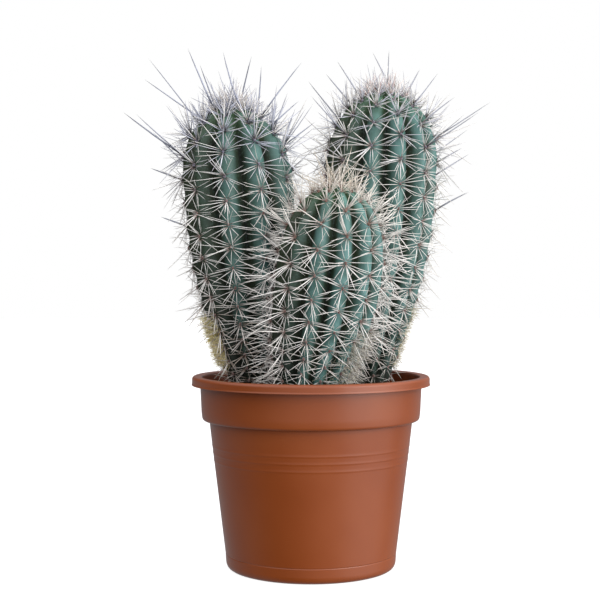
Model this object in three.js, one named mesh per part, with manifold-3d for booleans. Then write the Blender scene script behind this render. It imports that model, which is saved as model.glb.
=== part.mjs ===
// A potted group of three columnar cacti, as sold by nurseries: a moulded plastic pot with a
// turned-down rim, a fill of potting soil, and three ribbed stems armed with spines.
// Millimetres, +Z up. The origin is the middle of the pot's underside, and -Y is the front.
//
// Each stem is one solid. Its flesh is a ribbed club on a horizontal section: a narrow foot, a
// quarter-sine swell to full girth and a quarter-ellipse dome. The areoles sit in rows on the rib
// crests. At each one the crest vertex is cut off to a small pentagon, its five facets rise to a
// low cushion, and each facet is drawn out to a point, which makes a spine rooted in the skin.

import * as THREE from "three";
import { mergeVertices } from "three/addons/utils/BufferGeometryUtils.js";
import Module from "manifold-3d";

const wasm = await Module();
wasm.setup();

// ---- Driving dimensions ----------------------------------------------------------------------

const GAP = 0.3; // clearance between pieces that touch

const POT = {
  sides: 40,
  height: 152.5,
  wall: 1.8,
  floor: 2.4,
  rimRadius: 95,
  lipDrop: 7, // height of the turned-down lip
  collarTop: 88.5, // outer radii down the pot
  collarFoot: 87.2,
  collarFootZ: 123.5,
  shoulderZ: 117.5,
  bodyTop: 81,
  bodyFoot: 67.3,
  filletRadius: 5.7, // between the wall and the underside
  bandZ: [97.3, 91.5, 85.7], // lower edges of three shallow moulded bands
  bandProud: 0.6,
};
const DRAIN = { holes: 8, radius: 5, circle: 46, sides: 10 };

const SOIL = { level: 138, rings: 5, lump: 1.3 };
const ROOT = { depth: 46, tipShare: 0.5, sides: 20 }; // the stems' plain part below the soil

const FURROW = { depth: 0.25, fade: 0.06 }; // shares: of the girth, and of the height at the foot
const AREOLE = { radius: 1.7, youngRadius: 1.3, cushion: 0.9, drop: 0.35 }; // drop: at its sides
const CROWN = { share: 0.4, innerShare: 0.2, dimple: 1.5, rise: 45 }; // shares of the girth

// foot and crown are the ends of the axis; bow pushes its middle sideways along X.
// swell and dome are the heights, as shares, where full girth starts and where it ends.
// The areoles of a rib start at firstRow and step up by oldStep at the foot and youngStep near the
// crown, where crowding brings them closer. stagger says which ribs have theirs half a step up.
const STEMS = [
  { name: "stem_left", foot: [-44, 4], crown: [-64, 16], bow: 0, height: 231, footRadius: 16,
    girth: 44.3, swell: 0.6, dome: 0.745, ribs: 10, twist: -10.5, stagger: 1,
    firstRow: 7, oldStep: 8, youngStep: 22, crowding: 0.4,
    longSpine: 72, tuft: 11, lean: -1, seed: 75 },
  { name: "stem_right", foot: [42, 22], crown: [60.2, 42], bow: 3, height: 247.5, footRadius: 17,
    girth: 46.3, swell: 0.66, dome: 0.75, ribs: 12, twist: 17, stagger: 1,
    firstRow: 7, oldStep: 13, youngStep: 22, crowding: 0.4,
    longSpine: 70, tuft: 11, lean: 1, seed: 110 },
  { name: "stem_front", foot: [-4.2, -36.6], crown: [18.3, -46.6], bow: 4.6, height: 163, footRadius: 24,
    girth: 41.6, swell: 0.55, dome: 0.62, ribs: 12, twist: 15.5, stagger: 0,
    firstRow: 5, oldStep: 8, youngStep: 24, crowding: 0.1,
    longSpine: 31, tuft: 20, lean: 0, seed: 42 },
];

// Length in mm, elevation above the skin in degrees and heading round the areole in degrees
// (0 is to the right as seen from outside, 90 is up the rib) of the five spines of one areole.
const SPINES = [
  { heading: 18, length: 14, rise: 14 },
  { heading: 90, length: 11, rise: 28 },
  { heading: 162, length: 14, rise: 14 },
  { heading: 234, length: 14, rise: 16 },
  { heading: 306, length: 14, rise: 16 },
];
const CENTRAL = { length: 26, rise: 60, spread: 20 }; // one spine of each areole stands out
const ROOMY = 22; // rib spacing at which an areole's spines reach their full length
const YOUNG = { from: 0.66, span: 0.3, lift: 16, growth: 0.25 }; // longer, steeper spines on top
const SPINE_WIDTH = 0.7; // half the thickness of a spine where it leaves its cushion
const CLEAR = 0.5; // least air between spines that pass each other
const SKIN_AIR = 1.2; // least air between a spine and the flesh of any stem

// ---- Small helpers ---------------------------------------------------------------------------

const rad = THREE.MathUtils.degToRad;
const clamp01 = (x) => Math.min(1, Math.max(0, x));

function randomFrom(seed) {
  let state = seed;
  return () => {
    state = (state * 1664525 + 1013904223) % 4294967296;
    return state / 4294967296;
  };
}

function meshOf(name, geometry, { color, roughness }) {
  const material = new THREE.MeshStandardMaterial({ color, roughness, metalness: 0 });
  const mesh = new THREE.Mesh(geometry, material);
  mesh.name = name;
  return mesh;
}

function toSolid(geometry) {
  const bare = geometry.clone();
  bare.deleteAttribute("normal");
  bare.deleteAttribute("uv");
  const merged = mergeVertices(bare, 1e-4);
  const vertProperties = new Float32Array(merged.attributes.position.array);
  const triVerts = new Uint32Array(merged.index.array);
  return new wasm.Manifold(new wasm.Mesh({ numProp: 3, vertProperties, triVerts }));
}

function toGeometry(solid) {
  const { vertProperties, triVerts, numProp, numVert } = solid.getMesh();
  const points = new Float32Array(numVert * 3);
  for (let i = 0; i < numVert; i++) {
    points.set(vertProperties.subarray(i * numProp, i * numProp + 3), i * 3);
  }
  const geometry = new THREE.BufferGeometry();
  geometry.setAttribute("position", new THREE.BufferAttribute(points, 3));
  geometry.setIndex(new THREE.BufferAttribute(triVerts, 1));
  geometry.computeVertexNormals();
  return geometry;
}

// A solid of revolution about +Z from a profile of [radius, height] pairs.
function turned(profile, sides) {
  const points = profile.map(([r, z]) => new THREE.Vector2(r, z));
  return new THREE.LatheGeometry(points, sides).rotateX(Math.PI / 2);
}

// ---- Pot -------------------------------------------------------------------------------------

const bodyRadius = (z) =>
  THREE.MathUtils.mapLinear(z, POT.filletRadius, POT.shoulderZ, POT.bodyFoot, POT.bodyTop);

function potOutside() {
  const { filletRadius: r, height, lipDrop, rimRadius, bandProud } = POT;
  const corner = [0, 45, 90].map((a) => [
    POT.bodyFoot - r + r * Math.sin(rad(a)),
    r - r * Math.cos(rad(a)),
  ]);
  // Each band leans out towards its lower edge and steps back in below it.
  const bands = [...POT.bandZ].reverse().flatMap((z) => [
    [bodyRadius(z), z - 0.5],
    [bodyRadius(z) + bandProud, z + 0.5],
  ]);
  const topOfBands = POT.bandZ[0] + 5.8;
  return [
    ...corner,
    ...bands,
    [bodyRadius(topOfBands), topOfBands],
    [POT.bodyTop, POT.shoulderZ],
    [POT.collarFoot - 2.4, POT.shoulderZ + 1],
    [POT.collarFoot, POT.collarFootZ],
    [POT.collarTop, height - 2.2],
    [rimRadius - POT.wall, height - 2.2],
    [rimRadius - POT.wall, height - lipDrop],
    [rimRadius, height - lipDrop],
    [rimRadius, height - 2.8],
    [rimRadius - 3, height],
  ];
}

// The inside, from the rim down to the edge of the floor.
function potInside(inset = 0) {
  const w = POT.wall + inset;
  return [
    [POT.collarTop - w, POT.height - 1],
    [POT.collarFoot - w, POT.collarFootZ],
    [POT.bodyTop - w, POT.shoulderZ + 1 + inset],
    [bodyRadius(POT.floor + 6) - w, POT.floor + 6],
    [bodyRadius(POT.floor) - w - 4, POT.floor + inset],
  ];
}

function pot() {
  const shell = turned([[0, 0], ...potOutside(), ...potInside(), [0, POT.floor]], POT.sides);
  let solid = toSolid(shell);
  for (let i = 0; i < DRAIN.holes; i++) {
    const angle = ((i + 0.5) / DRAIN.holes) * 2 * Math.PI;
    const { radius, sides } = DRAIN;
    const punch = new THREE.CylinderGeometry(radius, radius, POT.floor * 4, sides);
    punch.rotateX(Math.PI / 2);
    punch.translate(DRAIN.circle * Math.cos(angle), DRAIN.circle * Math.sin(angle), 0);
    solid = solid.subtract(toSolid(punch));
  }
  return meshOf("pot", toGeometry(solid), { color: 0x9a5534, roughness: 0.42 });
}

// ---- Stem form -------------------------------------------------------------------------------

const heightAt = (stem, v) => SOIL.level + stem.height * v;

function axisAt(stem, v) {
  const bulge = 4 * v * (1 - v) * stem.bow;
  const x = THREE.MathUtils.lerp(stem.foot[0], stem.crown[0], v) + bulge;
  return [x, THREE.MathUtils.lerp(stem.foot[1], stem.crown[1], v)];
}

function girthAt(stem, v) {
  const rise = Math.sin((Math.PI / 2) * clamp01(v / stem.swell));
  const fall = clamp01((v - stem.dome) / (1 - stem.dome));
  return (stem.footRadius + (stem.girth - stem.footRadius) * rise) * Math.sqrt(1 - fall * fall);
}

// Round crests and sharp furrows: the size of a cosine, which is cusped where it meets zero.
// The furrows fade out at the soil, where the stem is round.
function ribbing(stem, v, angle) {
  const wave = Math.abs(Math.cos((stem.ribs / 2) * (angle - rad(stem.twist))));
  return 1 - FURROW.depth * clamp01(v / FURROW.fade) * (1 - wave);
}

// angle is measured from the front, -Y, towards +X.
function skinPoint(stem, v, angle) {
  const [x, y] = axisAt(stem, v);
  const r = girthAt(stem, v) * ribbing(stem, v, angle);
  return new THREE.Vector3(x + r * Math.sin(angle), y - r * Math.cos(angle), heightAt(stem, v));
}

// Air between a point and a stem's skin: sideways below the dome, and along the ray from the
// middle of the dome's base above it. Negative inside.
function airTo(stem, p) {
  const v = (p.z - SOIL.level) / stem.height;
  if (v < 0) return Infinity;
  const [x, y] = axisAt(stem, Math.min(v, 1));
  const beside = Math.hypot(p.x - x, p.y - y);
  const rib = ribbing(stem, v, Math.atan2(p.x - x, -(p.y - y)));
  if (v < stem.dome) return beside - girthAt(stem, v) * rib;
  const above = p.z - heightAt(stem, stem.dome);
  const share = Math.hypot(beside / (stem.girth * rib), (v - stem.dome) / (1 - stem.dome));
  return (1 - 1 / share) * Math.hypot(beside, above);
}

// Where the dome has narrowed to a share of the full girth.
const domeShare = (stem, r) => stem.dome + (1 - stem.dome) * Math.sqrt(1 - r * r);

// Areole rows, as shares of the height. They stand close at the old foot of the stem, wide on
// the young growth, and crowd together again over the dome. The last row rings the crown.
function areoleRows(stem) {
  const steps = 400;
  const end = domeShare(stem, CROWN.share);
  const shareAt = (i) => THREE.MathUtils.lerp(stem.firstRow / stem.height, end, i / steps);
  const counts = [0];
  for (let i = 0; i < steps; i++) {
    const [v, next] = [shareAt(i), shareAt(i + 1)];
    const arc = Math.hypot((next - v) * stem.height, girthAt(stem, next) - girthAt(stem, v));
    const crowded = 1 - stem.crowding * clamp01((v - stem.dome) / (1 - stem.dome)) ** 2;
    const spacing = THREE.MathUtils.lerp(stem.oldStep, stem.youngStep, v ** 0.7) * crowded;
    counts.push(counts[i] + arc / spacing);
  }
  const count = Math.round(counts[steps]);
  return Array.from({ length: count + 1 }, (_, k) => {
    const wanted = (k / count) * counts[steps];
    return shareAt(counts.findIndex((reached) => reached > wanted - 1e-9));
  });
}

// ---- Spines ----------------------------------------------------------------------------------

const placed = []; // every spine so far, as a tapering line, on all three stems

// Least air between two tapering spines, whose thickness falls from root to nothing at the tip.
function airBetween(a, b) {
  const d = a.root.clone().sub(b.root);
  const aa = a.span.dot(a.span);
  const bb = b.span.dot(b.span);
  const ab = a.span.dot(b.span);
  const det = Math.max(aa * bb - ab * ab, 1e-9);
  const s = clamp01((ab * b.span.dot(d) - bb * a.span.dot(d)) / det);
  const t = clamp01((ab * s + b.span.dot(d)) / bb);
  const s2 = clamp01((ab * t - a.span.dot(d)) / aa);
  const gap = d.addScaledVector(a.span, s2).addScaledVector(b.span, -t).length();
  return gap - a.thickness * (1 - s2) - b.thickness * (1 - t);
}

function isClear(spine, areole) {
  for (const share of [0.3, 0.55, 0.8, 1]) {
    const p = spine.root.clone().addScaledVector(spine.span, share);
    if (p.z < SOIL.level + SKIN_AIR * 2) return false;
    const inPot = p.z < POT.height + 2;
    if (inPot && Math.hypot(p.x, p.y) > POT.collarFoot - POT.wall - 2) return false;
    if (STEMS.some((stem) => airTo(stem, p) < SKIN_AIR)) return false;
  }
  const reach = spine.span.length();
  return placed.every(
    (other) =>
      other.areole === areole ||
      spine.root.distanceTo(other.root) > reach + other.reach ||
      airBetween(spine, other) > CLEAR,
  );
}

// The tip of one spine: the wanted one, or else the first turned, raised or shorter one that
// passes clear of the flesh and of the spines that stand already.
function spineTip(root, frame, wanted, areole, random) {
  const { out, side, up } = frame;
  for (let attempt = 0; attempt < 26; attempt++) {
    const freedom = Math.min(1, attempt / 8);
    const heading = rad(wanted.heading + (random() - 0.5) * (18 + 26 * freedom));
    const rise = rad(wanted.rise + (random() - 0.3) * (10 + 34 * freedom));
    const length = wanted.length * (1 - 0.03 * attempt) * (0.9 + 0.2 * random());
    const flat = Math.cos(rise);
    const span = new THREE.Vector3()
      .addScaledVector(side, flat * Math.cos(heading))
      .addScaledVector(up, flat * Math.sin(heading))
      .addScaledVector(out, Math.sin(rise))
      .setLength(length);
    const spine = { root, span, areole, thickness: SPINE_WIDTH, reach: length };
    if (!isClear(spine, areole)) continue;
    placed.push(spine);
    return root.clone().add(span);
  }
  return null;
}

// ---- Stem mesh -------------------------------------------------------------------------------

// A closed triangle mesh that can be opened at a vertex. Faces turn anticlockwise from outside.
class Skin {
  points = [];
  faces = new Set();
  around = []; // the faces that meet at each vertex

  put(point) {
    this.around.push(new Set());
    return this.points.push(point) - 1;
  }

  add(...face) {
    this.faces.add(face);
    face.forEach((id) => this.around[id].add(face));
  }

  // Takes out every face at a vertex and returns the vertices round the hole, in order.
  open(id) {
    const next = new Map();
    for (const face of [...this.around[id]]) {
      const n = face.indexOf(id);
      next.set(face[(n + 1) % 3], face[(n + 2) % 3]);
      this.faces.delete(face);
      face.forEach((corner) => this.around[corner].delete(face));
    }
    const ring = [next.keys().next().value];
    while (ring.length < next.size) ring.push(next.get(ring[ring.length - 1]));
    return ring;
  }

  // Fills the band between two rings, always moving on along the ring that is behind in angle.
  zip(outer, inner) {
    const step = (ring, n) => ring[n % ring.length].angle + 2 * Math.PI * Math.floor(n / ring.length);
    let [o, i] = [0, 0];
    while (o < outer.length || i < inner.length) {
      const [p, q] = [outer[o % outer.length].id, inner[i % inner.length].id];
      const outerFirst = step(outer, o) + step(outer, o + 1) < step(inner, i) + step(inner, i + 1);
      if (i === inner.length || (o < outer.length && outerFirst)) {
        o += 1;
        this.add(p, outer[o % outer.length].id, q);
      } else {
        i += 1;
        this.add(p, inner[i % inner.length].id, q);
      }
    }
  }

  geometry() {
    const geometry = new THREE.BufferGeometry();
    const flat = this.points.flatMap((p) => [p.x, p.y, p.z]);
    geometry.setAttribute("position", new THREE.Float32BufferAttribute(flat, 3));
    geometry.setIndex([...this.faces].flat());
    geometry.computeVertexNormals();
    return geometry;
  }
}

// Turns a ring of vertices so that it starts at its least angle.
function startAtLeast(ring) {
  const start = ring.reduce((least, r, n) => (r.angle < ring[least].angle ? n : least), 0);
  return [...ring.slice(start), ...ring.slice(0, start)];
}

// Outward, sideways and up-the-rib directions of the smooth form at an areole.
function frameAt(stem, { v, angle }) {
  const dv = 0.01;
  const da = Math.PI / stem.ribs;
  const side = skinPoint(stem, v, angle + da).sub(skinPoint(stem, v, angle - da)).normalize();
  const up = skinPoint(stem, Math.min(v + dv, 0.998), angle).sub(skinPoint(stem, v - dv, angle));
  const out = new THREE.Vector3().crossVectors(side, up).normalize();
  return { out, side, up: up.crossVectors(out, side) };
}

// The five spines of an areole at a given height on the stem.
function clusterAt(stem, { v, angle }, random) {
  const young = clamp01((v - YOUNG.from) / YOUNG.span);
  const spacing = (2 * Math.PI * girthAt(stem, v)) / stem.ribs;
  const room = Math.min(1, spacing / ROOMY);
  const cluster = SPINES.map((spine) => ({
    heading: spine.heading,
    length: spine.length * room * (1 + YOUNG.growth * young),
    rise: spine.rise + YOUNG.lift * young,
  }));
  // The standing spine points down or sideways on old growth, and up near the crown, where it
  // is longest on the side that the stem leans to.
  const leeward = Math.sin(angle) * stem.lean < -0.2;
  const longest = THREE.MathUtils.lerp(CENTRAL.length, stem.longSpine, young ** 0.8);
  const choices = young > 0.3 ? [0, 1, 2] : [0, 2, 3, 4];
  const central = cluster[choices[Math.floor(random() * choices.length)]];
  central.length = longest * (0.7 + 0.3 * random()) * (leeward ? 0.8 : 1) * Math.max(room, 0.7);
  central.rise = CENTRAL.rise + CENTRAL.spread * random();
  return cluster;
}

// Cuts a vertex of the skin off to a pentagon and grows a cushion with five spines in its place.
function growAreole(skin, vertex, frame, cluster, random, radius = AREOLE.radius) {
  const { out, side, up } = frame;
  const centre = skin.points[vertex.id];
  const heading = (id) => {
    const d = skin.points[id].clone().sub(centre);
    return Math.atan2(d.dot(up), d.dot(side));
  };
  const outer = startAtLeast(skin.open(vertex.id).map((id) => ({ id, angle: heading(id) })));

  const corners = SPINES.map(({ heading: towards }, n) => {
    const angle = rad(towards) - Math.PI / SPINES.length;
    const [c, s] = [radius * Math.cos(angle), radius * Math.sin(angle)];
    const corner = centre.clone().addScaledVector(side, c).addScaledVector(up, s);
    const id = skin.put(corner.addScaledVector(out, -AREOLE.drop * Math.abs(c)));
    return { id, angle: Math.atan2(s, c), spine: cluster[n] };
  });
  const pentagon = startAtLeast(corners);
  skin.zip(outer, pentagon);

  const cushion = skin.put(centre.clone().addScaledVector(out, AREOLE.cushion));
  pentagon.forEach(({ id, spine }, n) => {
    const facet = [id, pentagon[(n + 1) % pentagon.length].id, cushion];
    const root = new THREE.Vector3();
    facet.forEach((corner) => root.addScaledVector(skin.points[corner], 1 / 3));
    const tip = spineTip(root, frame, spine, centre, random);
    if (!tip) {
      skin.add(...facet);
      return;
    }
    const tipId = skin.put(tip);
    facet.forEach((corner, j) => skin.add(corner, facet[(j + 1) % 3], tipId));
  });
}

function stemGeometry(stem) {
  const random = randomFrom(stem.seed);
  const skin = new Skin();
  const columns = stem.ribs * 4; // crest, flank, furrow, flank
  const rows = areoleRows(stem);
  const last = rows.length - 1;
  const angleOf = (i) => rad(stem.twist) + (i / columns) * 2 * Math.PI;
  // Areoles on every second rib stand half a step higher; the columns between share the shift.
  const shiftOf = (i) => 0.5 - Math.abs(((i + 4 * stem.stagger) % 8) - 4) / 8;

  const grid = rows.map((row, k) =>
    Array.from({ length: columns }, (_, i) => {
      const v = k === last ? row : row + (rows[k + 1] - row) * shiftOf(i);
      const angle = angleOf(i);
      return { v, angle, id: skin.put(skinPoint(stem, v, angle)) };
    }),
  );

  // Between two rings the diagonals rise away from the crests, so that each crest vertex has
  // six neighbours: right, up right, up, up left, left and down.
  const join = (lower, upper) => {
    for (let i = 0; i < columns; i++) {
      const j = (i + 1) % columns;
      const [a, b, c, d] = [lower[i].id, lower[j].id, upper[i].id, upper[j].id];
      const rightOfCrest = i % 4 < 2;
      skin.add(a, b, rightOfCrest ? d : c);
      skin.add(rightOfCrest ? a : b, d, c);
    }
  };
  for (let k = 0; k < last; k++) join(grid[k], grid[k + 1]);

  // The plain round root, from the soil down to its blunt end.
  const [neck, tip] = [
    [1, -GAP],
    [ROOT.tipShare, -ROOT.depth],
  ].map(([share, z]) =>
    Array.from({ length: ROOT.sides }, (_, i) => {
      const angle = angleOf(i * (columns / ROOT.sides));
      const r = stem.footRadius * share;
      const [x, y] = [stem.foot[0] + r * Math.sin(angle), stem.foot[1] - r * Math.cos(angle)];
      return { angle, id: skin.put(new THREE.Vector3(x, y, SOIL.level + z)) };
    }),
  );
  skin.zip(neck, grid[0]);
  const rootTip = skin.put(new THREE.Vector3(...stem.foot, SOIL.level - ROOT.depth));
  tip.forEach(({ id }, i) => {
    const j = (i + 1) % ROOT.sides;
    skin.add(id, tip[j].id, neck[j].id);
    skin.add(id, neck[j].id, neck[i].id);
    skin.add(rootTip, tip[j].id, id);
  });

  // The crown: a ring of young areoles inside the last row, and one in the middle.
  const [crownX, crownY] = axisAt(stem, 1);
  const young = Array.from({ length: stem.ribs / 2 }, (_, i) => {
    const angle = angleOf(i * 8 + 2);
    return { angle, id: skin.put(skinPoint(stem, domeShare(stem, CROWN.innerShare), angle)) };
  });
  skin.zip(grid[last], young);
  const dimple = new THREE.Vector3(crownX, crownY, heightAt(stem, 1) - CROWN.dimple);
  const centre = { angle: 0, id: skin.put(dimple) };
  young.forEach(({ id }, i) => skin.add(id, young[(i + 1) % young.length].id, centre.id));

  for (const row of grid.slice(0, last)) {
    for (let i = 0; i < columns; i += 4) {
      growAreole(skin, row[i], frameAt(stem, row[i]), clusterAt(stem, row[i], random), random);
    }
  }
  const crests = grid[last].filter((_, i) => i % 4 === 0);
  for (const vertex of [...crests, ...young, centre]) {
    const outwards = new THREE.Vector3(Math.sin(vertex.angle), -Math.cos(vertex.angle), 0);
    const lean = vertex === centre ? 0 : young.includes(vertex) ? 0.25 : 0.6;
    const out = new THREE.Vector3(0, 0, 1).addScaledVector(outwards, lean).normalize();
    const side = new THREE.Vector3().crossVectors(out, outwards).negate().normalize();
    const frame = { out, side, up: new THREE.Vector3().crossVectors(out, side) };
    const tuft = SPINES.map(({ heading }) => ({
      heading,
      length: stem.tuft * (0.7 + 0.6 * random()),
      rise: CROWN.rise + 25 * random(),
    }));
    growAreole(skin, vertex, frame, tuft, random, AREOLE.youngRadius);
  }
  return skin.geometry();
}

const stemMeshes = STEMS.map((stem) =>
  meshOf(stem.name, stemGeometry(stem), { color: 0x4f7a68, roughness: 0.6 }),
);

// ---- Soil ------------------------------------------------------------------------------------

// Fills the pot up to its lumpy surface, with a plain round hole for each root.
function soil() {
  const wall = potInside(GAP).reverse();
  const rimIndex = wall.findIndex(([, z]) => z > SOIL.level);
  const [[r0, z0], [r1, z1]] = [wall[rimIndex - 1], wall[rimIndex]];
  const edge = THREE.MathUtils.mapLinear(SOIL.level, z0, z1, r0, r1);
  const surface = Array.from({ length: SOIL.rings }, (_, i) => [
    edge * (1 - i / SOIL.rings),
    SOIL.level,
  ]);
  const bottom = [0, POT.floor + GAP];
  const body = turned(
    [bottom, ...wall.slice(0, rimIndex), ...surface, [0, SOIL.level]],
    POT.sides,
  );
  const position = body.attributes.position;
  for (let i = 0; i < position.count; i++) {
    const [x, y, z] = [position.getX(i), position.getY(i), position.getZ(i)];
    const inside = clamp01((edge - Math.hypot(x, y)) / 8);
    if (z < SOIL.level - 1e-3) continue;
    const lumps = Math.sin(x * 0.31) * Math.cos(y * 0.27) + 0.5 * Math.sin(x * 0.13 - y * 0.19);
    position.setZ(i, z - SOIL.lump * inside * (1 - 0.6 * lumps));
  }
  let solid = toSolid(body);
  for (const stem of STEMS) {
    const ease = (GAP * 1.5) / Math.cos(Math.PI / ROOT.sides);
    const hole = turned(
      [
        [0, -ROOT.depth - GAP],
        [stem.footRadius * ROOT.tipShare + ease, -ROOT.depth - GAP],
        [stem.footRadius + ease, -GAP],
        [stem.footRadius + ease, SOIL.lump],
        [0, SOIL.lump],
      ],
      ROOT.sides,
    );
    hole.rotateZ(rad(stem.twist) - Math.PI / 2);
    hole.translate(...stem.foot, SOIL.level);
    solid = solid.subtract(toSolid(hole));
  }
  return meshOf("soil", toGeometry(solid), { color: 0x3a2a20, roughness: 0.95 });
}

// ---- The whole object ------------------------------------------------------------------------

const cactus = new THREE.Group();
cactus.add(pot(), soil(), ...stemMeshes);

export default cactus;
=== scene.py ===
# %% [markdown]
# # A potted group of columnar cacti
#
# Three ribbed, spiny stems of a slow desert column cactus stand in a moulded plastic nursery pot.
# The solids of the pot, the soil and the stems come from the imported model, and everything made
# here sits on them. The model gives the places and the sizes. This lesson adds what the eye reads
# as a real plant: the smooth swelling of the ribs, the felt pads, thousands of fine spines, the
# waxy bloom on the skin, crumbs of soil, and the soft gloss of the plastic.
#
# The first cell loads the model. Blender works in metres, so lengths below are written in
# millimetres and turned to metres in one place, where a mesh is made.

from functools import partial

import bpy
import numpy as np
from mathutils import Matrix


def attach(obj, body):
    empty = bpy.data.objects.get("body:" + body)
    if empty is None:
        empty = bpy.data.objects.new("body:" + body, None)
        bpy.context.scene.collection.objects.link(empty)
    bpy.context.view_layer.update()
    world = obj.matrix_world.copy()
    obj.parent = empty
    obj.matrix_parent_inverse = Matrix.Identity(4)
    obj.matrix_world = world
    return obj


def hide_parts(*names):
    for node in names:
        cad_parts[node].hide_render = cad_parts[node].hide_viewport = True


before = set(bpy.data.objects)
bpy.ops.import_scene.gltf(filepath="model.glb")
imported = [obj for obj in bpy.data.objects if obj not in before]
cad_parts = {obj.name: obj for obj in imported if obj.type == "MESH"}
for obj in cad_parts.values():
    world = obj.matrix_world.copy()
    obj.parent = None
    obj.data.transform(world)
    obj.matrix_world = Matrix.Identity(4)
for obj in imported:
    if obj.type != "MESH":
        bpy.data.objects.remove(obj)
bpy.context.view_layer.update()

MM = 0.001

# %% [markdown]
# ## The camera first
#
# The photograph is 600 pixels square. Its horizon, where the rims of round things flatten into
# lines, lies a little above the middle, and the ellipses of the rim and the foot of the pot say
# how near the camera stood. Together they give a camera about a metre away, a little higher than
# the rim, that looks straight ahead. A straight camera keeps upright edges parallel, as they are
# in the photograph. The small shift moves the picture to where the photographer framed it.

# %% Camera
PHOTO_SIDE = 600  # pixels
PHOTO_AXIS = 310.9  # the column of the pot's axis
PHOTO_HORIZON = 277.2  # the row of the horizon
CAMERA_DISTANCE = 1040.0  # millimetres, from the pot's axis
CAMERA_HEIGHT = 231.0
MM_PER_PIXEL = 0.8  # at the pot's axis

lens_angle = 2 * np.arctan(PHOTO_SIDE / 2 * MM_PER_PIXEL / CAMERA_DISTANCE)
camera_data = bpy.data.cameras.new("camera")
camera_data.angle = lens_angle
camera_data.shift_x = (PHOTO_SIDE / 2 - PHOTO_AXIS) / PHOTO_SIDE
camera_data.shift_y = (PHOTO_HORIZON - PHOTO_SIDE / 2) / PHOTO_SIDE
camera = bpy.data.objects.new("camera", camera_data)
camera.location = (0, -CAMERA_DISTANCE * MM, CAMERA_HEIGHT * MM)
camera.rotation_euler = (np.pi / 2, 0, 0)
bpy.context.scene.collection.objects.link(camera)
bpy.context.scene.camera = camera
print("The lens takes in", round(float(np.degrees(lens_angle)), 1), "degrees")


def seen_at(points):
    """Photograph pixels of points: sizes shrink in proportion to the distance from the camera."""
    scale = CAMERA_DISTANCE / (CAMERA_DISTANCE + points[..., 1]) / MM_PER_PIXEL
    across = PHOTO_AXIS + points[..., 0] * scale
    down = PHOTO_HORIZON + (CAMERA_HEIGHT - points[..., 2]) * scale
    return np.stack([across, down], -1)


def point_behind(pixel, depth):
    """The point that a photograph pixel shows at a given depth behind the pot's axis."""
    size = (CAMERA_DISTANCE + depth) / CAMERA_DISTANCE * MM_PER_PIXEL
    across = (pixel[..., 0] - PHOTO_AXIS) * size
    up = CAMERA_HEIGHT - (pixel[..., 1] - PHOTO_HORIZON) * size
    return np.stack([across, depth, up], -1)


# %% [markdown]
# ## Tools for meshes
#
# Every piece below is worked out as whole arrays of points, so there is one helper that joins
# rings of points into quads, and one that turns arrays into a Blender mesh.

# %% Mesh tools
def ring_quads(rows, columns, first=0):
    """Quads between rings of points: each point joins its right neighbour and the two above."""
    row, column = np.meshgrid(np.arange(rows - 1), np.arange(columns), indexing="ij")
    right = (column + 1) % columns
    corners = [row * columns + column, row * columns + right]
    corners += [(row + 1) * columns + right, (row + 1) * columns + column]
    return np.stack(corners, -1).reshape(-1, 4) + first


def fan(centre, ring, outward=True):
    """Triangles from one point to a ring, which close a pole."""
    after = np.roll(ring, -1)
    middle = np.full_like(ring, centre)
    return np.stack([ring, after, middle] if outward else [after, ring, middle], -1)


def make_piece(name, points, quads, triangles, material, **attributes):
    """Makes a smooth mesh object from arrays. Each attribute is one number for each point."""
    mesh = bpy.data.meshes.new(name)
    mesh.vertices.add(len(points))
    mesh.vertices.foreach_set("co", (points * MM).astype(np.float32).ravel())
    corners = np.concatenate([quads.ravel(), triangles.ravel()]).astype(np.int32)
    sizes = np.concatenate([np.full(len(quads), 4), np.full(len(triangles), 3)])
    mesh.loops.add(len(corners))
    mesh.loops.foreach_set("vertex_index", corners)
    mesh.polygons.add(len(sizes))
    starts = np.concatenate([[0], np.cumsum(sizes)[:-1]]).astype(np.int32)
    mesh.polygons.foreach_set("loop_start", starts)
    mesh.polygons.foreach_set("use_smooth", np.ones(len(sizes), bool))
    for key, values in attributes.items():
        layer = mesh.attributes.new(key, "FLOAT", "POINT")
        layer.data.foreach_set("value", np.asarray(values, np.float32).ravel())
    mesh.materials.append(material)
    mesh.update(calc_edges=True)
    piece = bpy.data.objects.new(name, mesh)
    bpy.context.scene.collection.objects.link(piece)
    print(name, "has", len(quads) * 2 + len(triangles), "triangles")
    return piece


print("A patch of 3 rings of 4 points has", len(ring_quads(3, 4)), "quads")

# %% [markdown]
# ## Tools for materials
#
# A material is a chain of small steps, each of them a node, and one function adds a node, sets it,
# and joins it to the steps before. Three kinds come back in every material. Noise gives soft
# blobs, and one divided by a size is the scale at which they are about that far apart. Map Range,
# whose inputs 0 to 4 are the value, the range it comes from and the range it goes to, cuts a part
# out of a value and stretches it. Both ranges are 0 to 1 where nothing else is said. Mix lays the
# colour at input 7 over the colour at input 6, by the share at input 0.
#
# Colours are written as the hex values that one would pick from a picture, and one function turns
# them into the linear light that a renderer counts in.

# %% Material tools
def linear(hex_colour):
    """Linear light of an sRGB hex colour: a short straight piece, then a power of 2.4."""
    srgb = np.array([int(hex_colour[i : i + 2], 16) for i in (1, 3, 5)]) / 255
    light = np.where(srgb <= 0.04045, srgb / 12.92, ((srgb + 0.055) / 1.055) ** 2.4)
    return (*light.tolist(), 1.0)


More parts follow.
